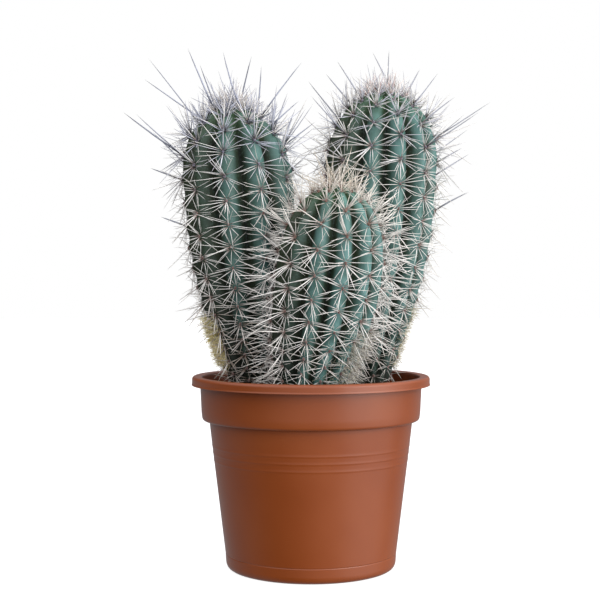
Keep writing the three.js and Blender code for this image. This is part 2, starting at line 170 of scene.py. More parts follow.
def add_node(tree, kind, inputs=None, stops=(), **settings):
    """Adds a node, sets its properties and colour stops, and sets or joins its inputs.

    An input is given by its name or number, as a value or as another node's output. A stop of a
    colour ramp is a place from 0 to 1 and a hex colour."""
    node = tree.nodes.new("ShaderNode" + kind)
    for key, value in settings.items():
        setattr(node, key, value)
    if stops:
        elements = node.color_ramp.elements
        while len(elements) < len(stops):
            elements.new(1.0)
        for element, (place, colour) in zip(elements, stops):
            element.position, element.color = place, linear(colour)
    for key, value in (inputs or {}).items():
        if isinstance(value, bpy.types.NodeSocket):
            tree.links.new(value, node.inputs[key])
        else:
            node.inputs[key].default_value = value
    return node


def new_material(name):
    """An empty material, and the function above made ready for its node tree."""
    material = bpy.data.materials.new(name)
    material.use_nodes = True
    material.node_tree.nodes.clear()
    return material, partial(add_node, material.node_tree)


print("Half of the way from black to white is", round(linear("#808080")[0], 3), "in linear light")

# %% [markdown]
# ## Terracotta-coloured plastic
#
# The pot is polypropylene with an iron-red pigment, injected into a polished steel mould. That
# gives an even colour with a slight cloudiness, a satin face whose highlights are broad and soft,
# and hair-fine scuffs from being stacked with other pots. Real scuffs are thinner than a pixel,
# so they are drawn 0.6 mm apart, as coarse as they need to be to show. Polypropylene bends light a
# little less than most plastics, with an IOR of 1.49.

# %% Pot material
def moulded_polypropylene():
    """Iron-red pigment, clouded over 60 mm, with scuffs 9 mm long and 0.6 mm apart."""
    material, add = new_material("moulded_polypropylene")
    place = add("TexCoord").outputs["Object"]
    cloud = add("TexNoise", {"Vector": place, "Scale": 1 / (60 * MM), "Detail": 2}).outputs[0]
    cloud = add("MapRange", {0: cloud, 1: 0.35, 2: 0.65}).outputs[0]
    pigment = [(0.0, "#7e3a12"), (0.5, "#813c13"), (1.0, "#843f16")]
    colour = add("ValToRGB", {0: cloud}, pigment).outputs[0]
    flattened = add("Mapping", {"Vector": place, "Scale": (1, 1, 15)}).outputs[0]
    scuff = add("TexNoise", {"Vector": flattened, "Scale": 1 / (9 * MM), "Detail": 4}).outputs[0]
    scuff = add("MapRange", {0: scuff, 1: 0.64, 2: 0.76, 4: 0.1}).outputs[0]
    colour = add("Mix", {0: scuff, 6: colour, 7: linear("#935a38")}, data_type="RGBA").outputs[2]
    grain = add("TexNoise", {"Vector": place, "Scale": 1 / (0.9 * MM), "Detail": 2}).outputs[0]
    shader = add("BsdfPrincipled", {
        "Base Color": colour,
        "Roughness": add("MapRange", {0: cloud, 3: 0.28, 4: 0.34}).outputs[0],
        "IOR": 1.49,
        "Normal": add("Bump", {"Height": grain, "Distance": 0.02 * MM}).outputs[0],
    })
    add("OutputMaterial", {"Surface": shader.outputs[0]})
    return material


POT_PLASTIC = moulded_polypropylene()
print(POT_PLASTIC.name, "has", len(POT_PLASTIC.node_tree.nodes), "nodes")

# %% [markdown]
# ## The pot
#
# A round pot is a profile turned about its axis. The profile starts in the middle of the
# underside, goes up the tapered wall over three shallow moulded bands, steps out to the collar,
# goes round the turned-down lip and comes back down the inside. Real mouldings have no sharp
# edges, so each corner of the profile is replaced by a small arc before it is turned. Drainage
# holes are cut through the base with a Boolean, because a hole that crosses a turned surface has
# no simple formula.

# %% Pot sizes
POT_HEIGHT = 152.5
RIM_RADIUS = 95.0
WALL = 1.8
FLOOR = 2.4
LIP_DROP = 7.0
LIP_FACE = RIM_RADIUS - 0.25
SHOULDER_Z = 117.5
COLLAR_FOOT_Z = 123.5
COLLAR_FOOT, COLLAR_TOP = 87.2, 88.5
BODY_TOP, BODY_FOOT = 81.0, 67.3
FOOT_FILLET = 5.7
BANDS_Z = (97.3, 91.5, 85.7)
BAND_PROUD, BAND_RISE = 0.32, 2.0  # how far each bead stands out, and where it is flush again
SCRIBE_Z = 12.5  # a fine line pressed in above the foot
SCRIBE = ((-0.5, 0.0), (0.0, 0.3), (0.5, 0.0))  # across it: height from its middle, and depth


def body_radius(z):
    """The tapered wall: the radius grows evenly with height."""
    return BODY_FOOT + (BODY_TOP - BODY_FOOT) * (z - FOOT_FILLET) / (SHOULDER_Z - FOOT_FILLET)


wall_lean = np.arctan((BODY_TOP - BODY_FOOT) / (SHOULDER_Z - FOOT_FILLET))
print("The wall leans out by", round(float(np.degrees(wall_lean)), 1), "degrees")


# %% Pot profile
def pot_corners():
    """The profile's corners as (radius, height, size of the rounding)."""
    corners = [(0, 0, 0), (BODY_FOOT, 0, FOOT_FILLET)]
    for up, depth in SCRIBE:
        corners += [(body_radius(SCRIBE_Z + up) - depth, SCRIBE_Z + up, 0.2)]
    for z in reversed(BANDS_Z):
        corners += [(body_radius(z), z - 0.7, 0.4), (body_radius(z) + BAND_PROUD, z + 0.4, 0.4)]
        corners += [(body_radius(z + BAND_RISE) + 0.1, z + BAND_RISE, 0.8)]
    corners += [(BODY_TOP, SHOULDER_Z, 0.5)]
    corners += [(COLLAR_FOOT - 0.8, SHOULDER_Z + 0.3, 2.2), (COLLAR_FOOT, COLLAR_FOOT_Z, 2.0)]
    under_lip = POT_HEIGHT - 2.2
    corners += [(COLLAR_TOP, under_lip, 0.6), (RIM_RADIUS - WALL, under_lip, 0.8)]
    lip_foot = POT_HEIGHT - LIP_DROP
    corners += [(RIM_RADIUS - WALL, lip_foot, 0.5), (RIM_RADIUS + 0.2, lip_foot, 0.5)]
    corners += [(LIP_FACE, lip_foot + 1.2, 0.4), (LIP_FACE, POT_HEIGHT - 1.5, 0.8)]
    corners += [(RIM_RADIUS - 1.5, POT_HEIGHT, 0.8)]
    corners += [(COLLAR_TOP - WALL, POT_HEIGHT - 0.2, 1.4)]
    corners += [(COLLAR_FOOT - WALL, COLLAR_FOOT_Z, 1.2), (BODY_TOP - WALL, SHOULDER_Z + 1, 1.2)]
    corners += [(body_radius(FLOOR) - WALL, FLOOR, 4.0), (0, FLOOR, 0)]
    return np.array(corners, float)


print("The pot's profile has", len(pot_corners()), "corners")


# %% Round its corners
def rounded(corners, steps=7):
    """Replaces each corner by a curve that leaves one side and joins the other at the same distance
    from the corner, and adds a point just off each end so that flat stretches shade flat.

    The curve is (1-t)^2 of its start, 2t(1-t) of the corner and t^2 of its end."""
    outline = [corners[:1, :2]]
    for before, corner, after in zip(corners[:-2], corners[1:-1], corners[2:]):
        here = corner[:2]
        arms = [before[:2] - here, after[:2] - here]
        lengths = [np.hypot(*arm) for arm in arms]
        cut = min(corner[2], 0.48 * lengths[0], 0.48 * lengths[1])
        start, end = (here + arm / length * cut for arm, length in zip(arms, lengths))
        t = np.linspace(0, 1, steps)[:, None]
        curve = (1 - t) ** 2 * start + 2 * t * (1 - t) * here + t**2 * end
        off = [here + a / n * min(cut + 0.35, 0.5 * n) for a, n in zip(arms, lengths)]
        outline += [off[0][None], curve, off[1][None]]
    outline.append(corners[-1:, :2])
    return np.concatenate(outline)


pot_outline = rounded(pot_corners())
print("Rounded, it has", len(pot_outline), "points")


# %% Turn the profile
def turned(outline, sides):
    """Spins a (radius, height) outline about the z axis, with one point at each pole."""
    angle = np.arange(sides) / sides * 2 * np.pi
    ring = outline[1:-1]
    x = ring[:, :1] * np.sin(angle)
    y = -ring[:, :1] * np.cos(angle)
    z = np.repeat(ring[:, 1:], sides, 1)
    points = np.stack([x, y, z], -1).reshape(-1, 3)
    poles = np.array([[0, 0, outline[0, 1]], [0, 0, outline[-1, 1]]])
    last = np.arange(sides) + (len(ring) - 1) * sides
    triangles = np.concatenate([
        fan(len(points), np.arange(sides), outward=False),
        fan(len(points) + 1, last),
    ])
    return np.concatenate([points, poles]), ring_quads(len(ring), sides), triangles


POT_SIDES = 160
pot_piece = make_piece("pot_shell", *turned(pot_outline, POT_SIDES), POT_PLASTIC)

# %% [markdown]
# The eight drainage holes stand in a ring in the base. They are cut by one object of eight short
# drums, which goes away once the cut has been made part of the mesh.

# %% Drainage holes
DRAIN_HOLES, DRAIN_RADIUS, DRAIN_CIRCLE = 8, 5.0, 46.0


def drain_drums():
    """Eight upright drums: turned outlines moved round a circle."""
    outline = np.array([[0, -5], [DRAIN_RADIUS, -5], [DRAIN_RADIUS, 12], [0, 12]], float)
    points, quads, triangles = turned(outline, 32)
    spots = (np.arange(DRAIN_HOLES) + 0.5) / DRAIN_HOLES * 2 * np.pi
    centres = DRAIN_CIRCLE * np.stack([np.cos(spots), np.sin(spots), 0 * spots], -1)
    shift = (np.arange(DRAIN_HOLES) * len(points))[:, None, None]
    all_points = (points + centres[:, None]).reshape(-1, 3)
    return all_points, (quads + shift).reshape(-1, 4), (triangles + shift).reshape(-1, 3)


def apply_modifiers(piece):
    """Makes the result of an object's modifiers its own mesh."""
    graph = bpy.context.evaluated_depsgraph_get()
    finished = bpy.data.meshes.new_from_object(piece.evaluated_get(graph))
    piece.modifiers.clear()
    piece.data = finished


drums = make_piece("drain_drums", *drain_drums(), POT_PLASTIC)
cut = pot_piece.modifiers.new("drainage", "BOOLEAN")
cut.operation = "DIFFERENCE"
cut.solver = "EXACT"
cut.object = drums
apply_modifiers(pot_piece)
bpy.data.objects.remove(drums)
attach(pot_piece, "root")
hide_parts("pot")

# %% [markdown]
# ## The form of a stem
#
# The flesh of a column cactus is a pleated club. Its axis leans and bows slightly. Its girth
# swells from a narrow old foot and closes in a dome. The pleats are even round crests with sharp
# furrows between them, for which the size of a cosine is a close match: it is round at the top
# and comes to a cusp where it meets zero. Each stem is one row of numbers.

# %% The three stems
SOIL_Z = 138.0
FURROW_DEPTH, FURROW_FADE = 0.25, 0.06


class Stem:
    """One stem. Lengths are in millimetres, the twist in degrees, and swell and dome, where full
    girth is reached and where the dome starts, are shares of its height. bow is how far its axis
    bends aside. steps are the height of the first areoles and their spacing at the foot and on
    young growth, crowding is how much closer they come on the crown, and stagger says which ribs
    have theirs half a step up."""

    def __init__(self, name, foot, crown, bow, height, foot_radius, girth, swell, dome,
                 ribs, twist, stagger, steps, crowding, seed):
        self.name, self.bow, self.height, self.foot_radius = name, bow, height, foot_radius
        self.foot, self.crown = np.array(foot, float), np.array(crown, float)
        self.girth, self.swell, self.dome = girth, swell, dome
        self.ribs, self.twist, self.stagger = ribs, np.radians(twist), stagger
        self.steps, self.crowding, self.seed = steps, crowding, seed


LEFT = Stem("stem_left", (-44, 4), (-64, 16), 0, 231, 16, 44.3, 0.6, 0.745,
            10, -10.5, 1, (7, 8, 22), 0.4, 17)
RIGHT = Stem("stem_right", (42, 22), (60.2, 42), 3, 247.5, 17, 46.3, 0.66, 0.75,
             12, 17, 1, (7, 13, 22), 0.4, 41)
FRONT = Stem("stem_front", (-4.2, -36.6), (18.3, -46.6), 4.6, 163, 24, 41.6, 0.55, 0.62,
             12, 15.5, 0, (5, 8, 24), 0.1, 37)
STEMS = (LEFT, RIGHT, FRONT)
for stem in STEMS:
    print(stem.name, "stands", SOIL_Z + stem.height, "mm above the table, with", stem.ribs, "ribs")


# %% Stem form
def unit(vectors):
    """Vectors of length one."""
    return vectors / np.linalg.norm(vectors, axis=-1, keepdims=True)


def axis_at(stem, v):
    """The axis: a straight lean plus a parabola of sideways bow."""
    x = stem.foot[0] + (stem.crown[0] - stem.foot[0]) * v + 4 * v * (1 - v) * stem.bow
    y = stem.foot[1] + (stem.crown[1] - stem.foot[1]) * v
    return x, y


def girth_at(stem, v):
    """The girth: a quarter sine up to full size, and a quarter ellipse over the dome."""
    rise = np.sin(np.pi / 2 * np.clip(v / stem.swell, 0, 1))
    fall = np.clip((v - stem.dome) / (1 - stem.dome), 0, 1)
    return (stem.foot_radius + (stem.girth - stem.foot_radius) * rise) * np.sqrt(1 - fall**2)


def crest_at(stem, angle):
    """1 on a crest and 0 in a furrow: the size of a cosine with half as many waves as ribs."""
    return np.abs(np.cos(stem.ribs / 2 * (angle - stem.twist)))


def skin_at(stem, v, angle, proud=0.0):
    """Points of the skin, proud by a few millimetres. The angle starts at the front."""
    x, y = axis_at(stem, v)
    cut = FURROW_DEPTH * np.clip(v / FURROW_FADE, 0, 1)
    r = girth_at(stem, v) * (1 - cut * (1 - crest_at(stem, angle))) + proud
    z = SOIL_Z + stem.height * v + 0 * angle
    return np.stack([x + r * np.sin(angle), y - r * np.cos(angle), z], -1)


for stem in STEMS:
    widest = float(girth_at(stem, np.linspace(0, 1, 101)).max())
    print(stem.name, "is", round(2 * widest, 1), "mm thick where it is thickest")

# %% [markdown]
# ## Where the areoles sit
#
# An areole is the felt pad that spines grow from. They sit in a row on each crest, about 10 mm
# apart on the old, shrunken foot and about 20 mm apart on young growth, and every second rib is
# half a step out of line. The stars of spines on the photograph show where they are. One function
# works these places out, and the bumps of the skin, the pads and the spines all use it.

# %% Areole places
CROWN_SHARE = 0.4  # the dome inside this share of the girth is crowded with young areoles
CROWN_AREOLES = 14
GOLDEN_ANGLE = 137.5  # degrees from one new areole to the next, as in most plants


def dome_share(stem, r):
    """Height share where the dome has narrowed to the share r of its girth."""
    return stem.dome + (1 - stem.dome) * np.sqrt(1 - np.square(r))


def areole_rows(stem):
    """Heights of the rows: the arc over the spacing is added up to each whole number of steps.

    The spacing grows from old to young with the height to the power 0.7."""
    first, old_step, young_step = stem.steps
    v = np.linspace(first / stem.height, dome_share(stem, CROWN_SHARE), 401)
    arc = np.hypot(np.diff(v) * stem.height, np.diff(girth_at(stem, v)))
    here = v[:-1]
    crowded = 1 - stem.crowding * np.clip((here - stem.dome) / (1 - stem.dome), 0, 1) ** 2
    spacing = (old_step + (young_step - old_step) * here**0.7) * crowded
    steps = np.concatenate([[0], np.cumsum(arc / spacing)])
    count = round(float(steps[-1]))
    return np.interp(np.linspace(0, steps[-1], count + 1), steps, v)


def areoles_of(stem):
    """(height share, angle) of each areole: the rows on the ribs, then a spiral on the crown."""
    rows = areole_rows(stem)
    rib = np.arange(stem.ribs)
    angles = stem.twist + rib / stem.ribs * 2 * np.pi
    half_step = np.append(np.diff(rows), 0) * 0.5
    v = rows[:, None] + half_step[:, None] * ((rib + stem.stagger) % 2)
    on_ribs = np.stack([v, np.broadcast_to(angles, v.shape)], -1).reshape(-1, 2)
    turn = np.arange(CROWN_AREOLES)
    spread = CROWN_SHARE * 0.8 * np.sqrt((turn + 0.3) / len(turn))
    on_crown = np.stack([dome_share(stem, spread), turn * np.radians(GOLDEN_ANGLE)], -1)
    return np.concatenate([on_ribs, on_crown]), len(on_ribs)


def frames_at(stem, v, angle):
    """Sideways, up-the-rib and outward directions on the smooth form round an areole."""
    near = 0.004
    high = np.minimum(v + near, 0.9995)
    half = np.pi / stem.ribs
    side = unit(skin_at(stem, v, angle + half) - skin_at(stem, v, angle - half))
    up = skin_at(stem, high, angle) - skin_at(stem, v - near, angle)
    out = unit(np.cross(side, up))
    return side, np.cross(out, side), out


for stem in STEMS:
    print(stem.name, "has", len(areoles_of(stem)[0]), "areoles in", len(areole_rows(stem)), "rows")

# %% [markdown]
# ## Cactus skin
#
# The outer skin is a tough green rind under a bloom of pale wax, as on a plum. The wax is thick on
# the crests, so those read blue-grey, and thin in the furrows, where the deep green shows through,
# darkened to nearly black by painted shade. The bloom is painted whole on the side that faces the
# window and thin on the other, which is dark, with a tinge of olive: real bloom with painted light
# and shade laid over it. Towards the foot the rind is painted nearly black, partly old rind and
# partly painted shade, and it is corky where it meets the soil, while the crown is fresh green.
# Wax scatters light, so the surface is satin at most, and the furrows are dull. Light goes a little
# way into the wet flesh, which softens the shade in them.
#
# The skin carries four numbers on its points: how near a crest a point is, how far up the stem,
# how much olive it has on the side away from the window, and how much bloom and painted side light
# it has. The node chain starts from two colours for bare and dusted rind, both with painted shade
# in the furrows, and lays the rest over them, one thin coat after another.

# %% Skin material
# rind colour from furrow to crest: deeper green in the furrows, darkened to near black there as
# painted shade
BARE_WITH_FURROW_SHADE = [
    (0.0, "#090c06"), (0.25, "#12190c"), (0.5, "#1a2615"), (0.8, "#23321f"), (1.0, "#2b3b27"),
]
DUSTED_WITH_FURROW_SHADE = [
    (0.0, "#0d1109"), (0.25, "#182210"), (0.5, "#213426"), (0.8, "#2f4c3f"), (1.0, "#3a5b50"),
]


def waxy_epidermis():
    """Green rind, crest bloom in 14 mm clouds and 1.8 mm speckles, painted light and shade."""
    material, add = new_material("waxy_epidermis")
    place = add("TexCoord").outputs["Object"]
    crest, height, olive_away_from_window, bloom = (
        add("Attribute", attribute_name=name).outputs["Fac"]
        for name in ("crest", "height", "olive", "bloom")
    )
    cloud, fine, patch = (
        add("TexNoise", {"Vector": place, "Scale": 1 / (size * MM), "Detail": detail}).outputs[0]
        for size, detail in ((14, 3), (1.8, 3), (38, 2))
    )
    bare = add("ValToRGB", {0: crest}, BARE_WITH_FURROW_SHADE).outputs[0]
    dusted = add("ValToRGB", {0: crest}, DUSTED_WITH_FURROW_SHADE).outputs[0]
    colour = add("Mix", {0: bloom, 6: bare, 7: dusted}, data_type="RGBA").outputs[2]
    olive = add("MapRange", {0: patch, 1: 0.48, 2: 0.66, 4: 0.6}).outputs[0]
    olive = add("Math", {0: olive, 1: olive_away_from_window}, operation="ADD").outputs[0]
    olive = add("MapRange", {0: olive, 4: 0.85}).outputs[0]
    # pale wax on the crests: partly real wax, partly painted light, full only towards the window
    wax_and_light = add("MapRange", {0: crest, 1: 0.3, 2: 0.95}).outputs[0]
    wax_and_light = add("Math", {0: wax_and_light, 1: cloud}, operation="MULTIPLY").outputs[0]
    wax_and_light = add("MapRange", {0: wax_and_light, 1: 0.1, 2: 0.55, 4: 0.85}).outputs[0]
    wax_and_light = add("Math", {0: wax_and_light, 1: bloom}, operation="MULTIPLY").outputs[0]
    speckle = add("MapRange", {0: fine, 1: 0.5, 2: 0.8, 4: 0.2}).outputs[0]
    cork = add("MapRange", {0: height, 2: 0.08, 3: 0.6, 4: 0.0}).outputs[0]
    # near black low on the stem and where the bloom is thin: partly old rind, partly painted shade
    old = add("MapRange", {0: height, 2: 0.6, 3: 1.0, 4: 0.0}).outputs[0]
    away_from_light = add("MapRange", {0: bloom, 1: 0.1, 2: 0.8, 3: 0.9, 4: 0.15}).outputs[0]
    old_and_shaded = add("Math", {0: old, 1: away_from_light}, operation="MULTIPLY").outputs[0]
    fresh = add("MapRange", {0: height, 1: 0.86, 4: 0.5}).outputs[0]
    coats = ((olive, "#283018"), (wax_and_light, "#5f8682"), (speckle, "#62877f"),
             (cork, "#4a402c"), (old_and_shaded, "#0a0e07"), (fresh, "#3f6238"))
    for share, coat in coats:
        colour = add("Mix", {0: share, 6: colour, 7: linear(coat)}, data_type="RGBA").outputs[2]
    shader = add("BsdfPrincipled", {
        "Base Color": colour,
        "Roughness": add("MapRange", {0: crest, 1: 0.1, 2: 0.8, 3: 0.8, 4: 0.46}).outputs[0],
        "IOR": 1.45,
        "Specular IOR Level": 0.4,
        "Subsurface Weight": 0.12,
        "Subsurface Radius": (0.6, 1.0, 0.4),
        "Subsurface Scale": 1.5 * MM,
        "Normal": add("Bump", {"Height": fine, "Distance": 0.15 * MM}).outputs[0],
    })
    add("OutputMaterial", {"Surface": shader.outputs[0]})
    return material


SKIN = waxy_epidermis()
print(SKIN.name, "has", len(SKIN.node_tree.nodes), "nodes")

# %% [markdown]
# ## The skin of a stem
#
# The form above is sampled on a grid of heights and angles fine enough to keep the furrows sharp.
# Two things are added that the plain form leaves out. The crest swells under each areole and
# pinches in just above it, and the whole rib wavers by a fraction of a millimetre, because no rib
# grows quite straight. A stub below the soil closes the foot.

# %% Swellings and bloom
SKIN_COLUMNS = 240
SKIN_ROWS = 230
DOME_ROWS = 70
AREOLE_SWELL = 1.3  # how far the crest stands up under an areole
HILL_ACROSS, HILL_UP = 3.6, 4.5  # millimetres over which that swelling dies away
NICK_UP, NICK_DEPTH = 1.7, 0.4  # the nick above it, as shares of the hill's size
WAVER = 0.5  # how far a rib strays
STUB_DEPTH = 40.0
OLIVE_SIDE = -100.0  # degrees: the side away from the window, which turns olive
LIT_SIDE = 70.0  # degrees: the side towards the window, where the bloom is painted fullest, as light
# bloom on each stem; less of it paints a stem darker, as shade
BLOOM_AND_LIGHT = {"stem_left": 0.6, "stem_right": 0.8, "stem_front": 1.0}
FOOT_BLOOM_AND_LIGHT = {"stem_left": 0.0, "stem_right": 0.3, "stem_front": 0.8}  # share of it at the foot; a low share paints the foot darker, as shade


def smooth(values, low, high):
    """0 below low, 1 above high, and the cubic 3t^2 - 2t^3 between them."""
    t = np.clip((values - low) / (high - low), 0, 1)
    return t**2 * (3 - 2 * t)


def skin_heights(stem):
    """Height shares of the rings: even up the column, and by equal angles over the dome."""
    low = np.linspace(0.0, stem.dome, SKIN_ROWS - DOME_ROWS, endpoint=False)
    bend = np.linspace(0, np.pi / 2, DOME_ROWS, endpoint=False)
    return np.concatenate([low, stem.dome + (1 - stem.dome) * np.sin(bend)])


def swelling(stem, v, angle):
    """Bumps under the areoles of the ribs: a hill under each and a shallow nick just above it.

    Both are bells, e to the power of minus the square of the distance."""
    places, on_ribs = areoles_of(stem)
    hills = np.zeros(np.broadcast(v, angle).shape)
    for row_v, row_angle in places[:on_ribs]:
        across = (angle - row_angle + np.pi) % (2 * np.pi) - np.pi
        across = across * girth_at(stem, row_v) / HILL_ACROSS
        up = (v - row_v) * stem.height / HILL_UP
        nick = np.exp(-(across**2) - (up - NICK_UP) ** 2 * 2)
        hills += np.exp(-(across**2) - up**2) - NICK_DEPTH * nick
    return AREOLE_SWELL * hills


print("A skin has", len(skin_heights(LEFT)), "rings of", SKIN_COLUMNS, "points")


# %% Stem skins
def skin_piece(stem):
    """Rings of skin, a shrinking stub below the soil, and a point at each end."""
    v = skin_heights(stem)[:, None]
    angle = (np.arange(SKIN_COLUMNS) / SKIN_COLUMNS * 2 * np.pi)[None]
    waver = WAVER * np.sin(9 * v * np.pi + 3 * angle) * np.sin(5 * v * np.pi - angle + stem.seed)
    fade = np.clip(v / FURROW_FADE, 0, 1) * np.sqrt(np.clip(1 - v, 0, 1))
    rings = skin_at(stem, v, angle, (waver + swelling(stem, v, angle)) * fade)
    stub_share = np.linspace(0.5, 1.0, 8, endpoint=False)[:, None, None]
    centre = np.array([*stem.foot, SOIL_Z])
    stub = centre + (rings[:1] - centre) * stub_share
    stub[..., 2] -= STUB_DEPTH * (2 - 2 * stub_share[..., 0])
    points = np.concatenate([stub, rings]).reshape(-1, 3)
    ends = np.array([[*stem.foot, SOIL_Z - STUB_DEPTH], [*stem.crown, SOIL_Z + stem.height - 1.0]])
    ring = np.arange(SKIN_COLUMNS)
    top = ring + len(points) - SKIN_COLUMNS
    caps = [fan(len(points), ring, outward=False), fan(len(points) + 1, top)]
    rows = len(stub) + len(rings)
    crest = np.broadcast_to(crest_at(stem, angle), (rows, SKIN_COLUMNS)).ravel()
    height = np.concatenate([np.zeros(len(stub)), v[:, 0]])
    height = np.repeat(height, SKIN_COLUMNS)
    olive = np.tile(np.clip(np.cos(angle[0] - np.radians(OLIVE_SIDE)), 0, 1) ** 1.5, rows)
    # painted light and shade: bloom and pale wax fade away from the window and towards the foot
    facing_light = smooth(np.cos(angle[0] - np.radians(LIT_SIDE)), -0.7, 0.6)
    kept = FOOT_BLOOM_AND_LIGHT[stem.name] + (1 - FOOT_BLOOM_AND_LIGHT[stem.name]) * smooth(height, 0, 0.35)
    bloom = BLOOM_AND_LIGHT[stem.name] * kept * np.tile(facing_light, rows)
    return make_piece(
        stem.name + "_skin",
        np.concatenate([points, ends]),
        ring_quads(rows, SKIN_COLUMNS),
        np.concatenate(caps),
        SKIN,
        crest=np.append(crest, [0, 1]),
        height=np.append(height, [0, 1]),
        olive=np.append(olive, [0, 0]),
        bloom=np.append(bloom, [0, BLOOM_AND_LIGHT[stem.name] / 2]),
    )


for stem in STEMS:
    piece = skin_piece(stem)
    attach(piece, "root")
    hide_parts(stem.name)

# %% [markdown]
# ## Felt
#
# Each areole is an upright oval pad of short felt, brown on old growth. Near the crown it is tan on
# the front stem, and slate grey, as if dusted, on the two tall ones. It is made as a low dome with
# a few faces, because there are hundreds. A rough, velvety material with a soft sheen stands for
# the hairs, which are far too fine to model, and its blotches are as coarse as they need to be to
# show.

# %% Felt pads
def areole_felt():
    """Short hairs: no gloss, a pale sheen at grazing angles, blotches 0.7 mm across."""
    material, add = new_material("areole_felt")
    place = add("TexCoord").outputs["Object"]
    blotch = add("TexNoise", {"Vector": place, "Scale": 1 / (0.7 * MM), "Detail": 3}).outputs[0]
    colour = add("ValToRGB", {0: blotch}, [(0.3, "#46302d"), (0.7, "#84685f")]).outputs[0]
    for name, dark, pale in (("tan", "#5e3f35", "#9c7865"), ("slate", "#35313f", "#8d8a99")):
        share = add("Attribute", attribute_name=name).outputs["Fac"]
        young = add("ValToRGB", {0: blotch}, [(0.3, dark), (0.7, pale)]).outputs[0]
        colour = add("Mix", {0: share, 6: colour, 7: young}, data_type="RGBA").outputs[2]
    shader = add("BsdfPrincipled", {
        "Base Color": colour,
        "Roughness": 0.95,
        "Sheen Weight": 0.4,
        "Sheen Roughness": 0.5,
        "Normal": add("Bump", {"Height": blotch, "Distance": 0.5 * MM}).outputs[0],
    })
    add("OutputMaterial", {"Surface": shader.outputs[0]})
    return material


FELT = areole_felt()
PAD_WIDE, PAD_TALL, PAD_HIGH = 1.15, 1.75, 1.4  # half widths and height
PAD_SIDES = 8
PAD_RINGS = (-35, 0, 35)  # degrees up the dome
PAD_SEAT = AREOLE_SWELL * 0.6  # how far up the swelling a pad's middle is
PALE_FROM, PALE_SPAN = 0.62, 0.2  # height shares over which the felt turns pale
SLATE = {"stem_left": 1.0, "stem_right": 0.8, "stem_front": 0.0}  # how dusty young growth looks
MOST_TAN = 0.7


def pad_piece(stem):
    """Low oval domes: rings whose radius falls as a cosine while their height rises as a sine."""
    places, on_ribs = areoles_of(stem)
    v, angle = places.T
    side, up, out = frames_at(stem, v, angle)
    centre = skin_at(stem, v, angle, PAD_SEAT)
    spin = np.arange(PAD_SIDES) / PAD_SIDES * 2 * np.pi
    lift = np.radians(PAD_RINGS)
    wide = PAD_WIDE * np.cos(lift)[:, None] * np.cos(spin)
    tall = PAD_TALL * np.cos(lift)[:, None] * np.sin(spin)
    high = PAD_HIGH * np.sin(lift)[:, None] * np.ones(PAD_SIDES)
    local = np.stack([wide, tall, high], -1).reshape(-1, 3)
    local = np.concatenate([local, [[0, 0, PAD_HIGH]], [[0, 0, -PAD_HIGH]]])
    size = np.where(np.arange(len(v)) < on_ribs, 1.0, 0.7)[:, None, None]
    axes = np.stack([side, up, out], 1)
    points = centre[:, None] + size * (local @ axes)
    per_pad = len(local)
    base = (np.arange(len(v)) * per_pad)[:, None, None]
    ring = np.arange(PAD_SIDES)
    caps = np.concatenate([fan(per_pad - 2, ring + 2 * PAD_SIDES), fan(per_pad - 1, ring, False)])
    quads = (ring_quads(len(PAD_RINGS), PAD_SIDES)[None] + base).reshape(-1, 4)
    young = np.clip((v - PALE_FROM) / PALE_SPAN, 0, 1)
    tan = young * (1 - SLATE[stem.name]) * MOST_TAN
    return make_piece(
        stem.name + "_felt",
        points.reshape(-1, 3),
        quads,
        (caps[None] + base).reshape(-1, 3),
        FELT,
        tan=np.repeat(tan, per_pad),
        slate=np.repeat(young * SLATE[stem.name], per_pad),
    )


for stem in STEMS:
    piece = pad_piece(stem)
    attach(piece, "root")

# %% [markdown]
# ## Spine material
#
# A spine is a hardened leaf, dead and dry like a fingernail. Most are ivory with a pinkish brown
# root, and those near the foot are weathered to a dull brown. The long young ones round the crown
# are slate grey, as if dusted, and the bristles of the crown are straw or pink. Each spine carries
# numbers on its points: how far along it a point is, how weathered, straw, pink or slate it is,
# and a shade of its own, so that no two neighbours match.

# %% Spine material
IVORY = [(0.0, "#6d4a44"), (0.08, "#b39d93"), (0.22, "#f1ede7"), (1.0, "#e6dfd6")]
OTHER_HORN = {
    "weather": [(0.0, "#4b332b"), (0.15, "#8f7869"), (0.5, "#c8bcae"), (1.0, "#a99888")],
    "straw": [(0.0, "#84553f"), (0.2, "#b8957c"), (0.55, "#d3c3a8"), (1.0, "#bfa888")],
    "pink": [(0.0, "#8d5a58"), (0.2, "#cf9c98"), (0.6, "#e2bdb6"), (1.0, "#d3a49e")],
    "slate": [
        (0.0, "#3a3742"), (0.12, "#6a6c7a"), (0.35, "#bcbfcf"), (0.7, "#adafbe"), (1.0, "#6f6d78"),
    ],
}


def dry_keratin():
    """Ivory horn with a satin face, laid over with the colours of its age and its own shade."""
    material, add = new_material("dry_keratin")
    along, shade = (
        add("Attribute", attribute_name=name).outputs["Fac"] for name in ("along", "shade")
    )
    colour = add("ValToRGB", {0: along}, IVORY).outputs[0]
    for name, stops in OTHER_HORN.items():
        share = add("Attribute", attribute_name=name).outputs["Fac"]
        other = add("ValToRGB", {0: along}, stops).outputs[0]
        colour = add("Mix", {0: share, 6: colour, 7: other}, data_type="RGBA").outputs[2]
    dull = add("MapRange", {0: shade, 1: -1.0, 3: 0.5, 4: 1.1}).outputs[0]
    grey = add("CombineColor", {0: dull, 1: dull, 2: dull}).outputs[0]
    shaded = add("Mix", {0: 1.0, 6: colour, 7: grey}, data_type="RGBA", blend_type="MULTIPLY")
    shader = add("BsdfPrincipled", {
        "Base Color": shaded.outputs[2], "Roughness": 0.42, "IOR": 1.54,
    })
    add("OutputMaterial", {"Surface": shader.outputs[0]})
    return material


HORN = dry_keratin()
print(HORN.name, "has", len(HORN.node_tree.nodes), "nodes")

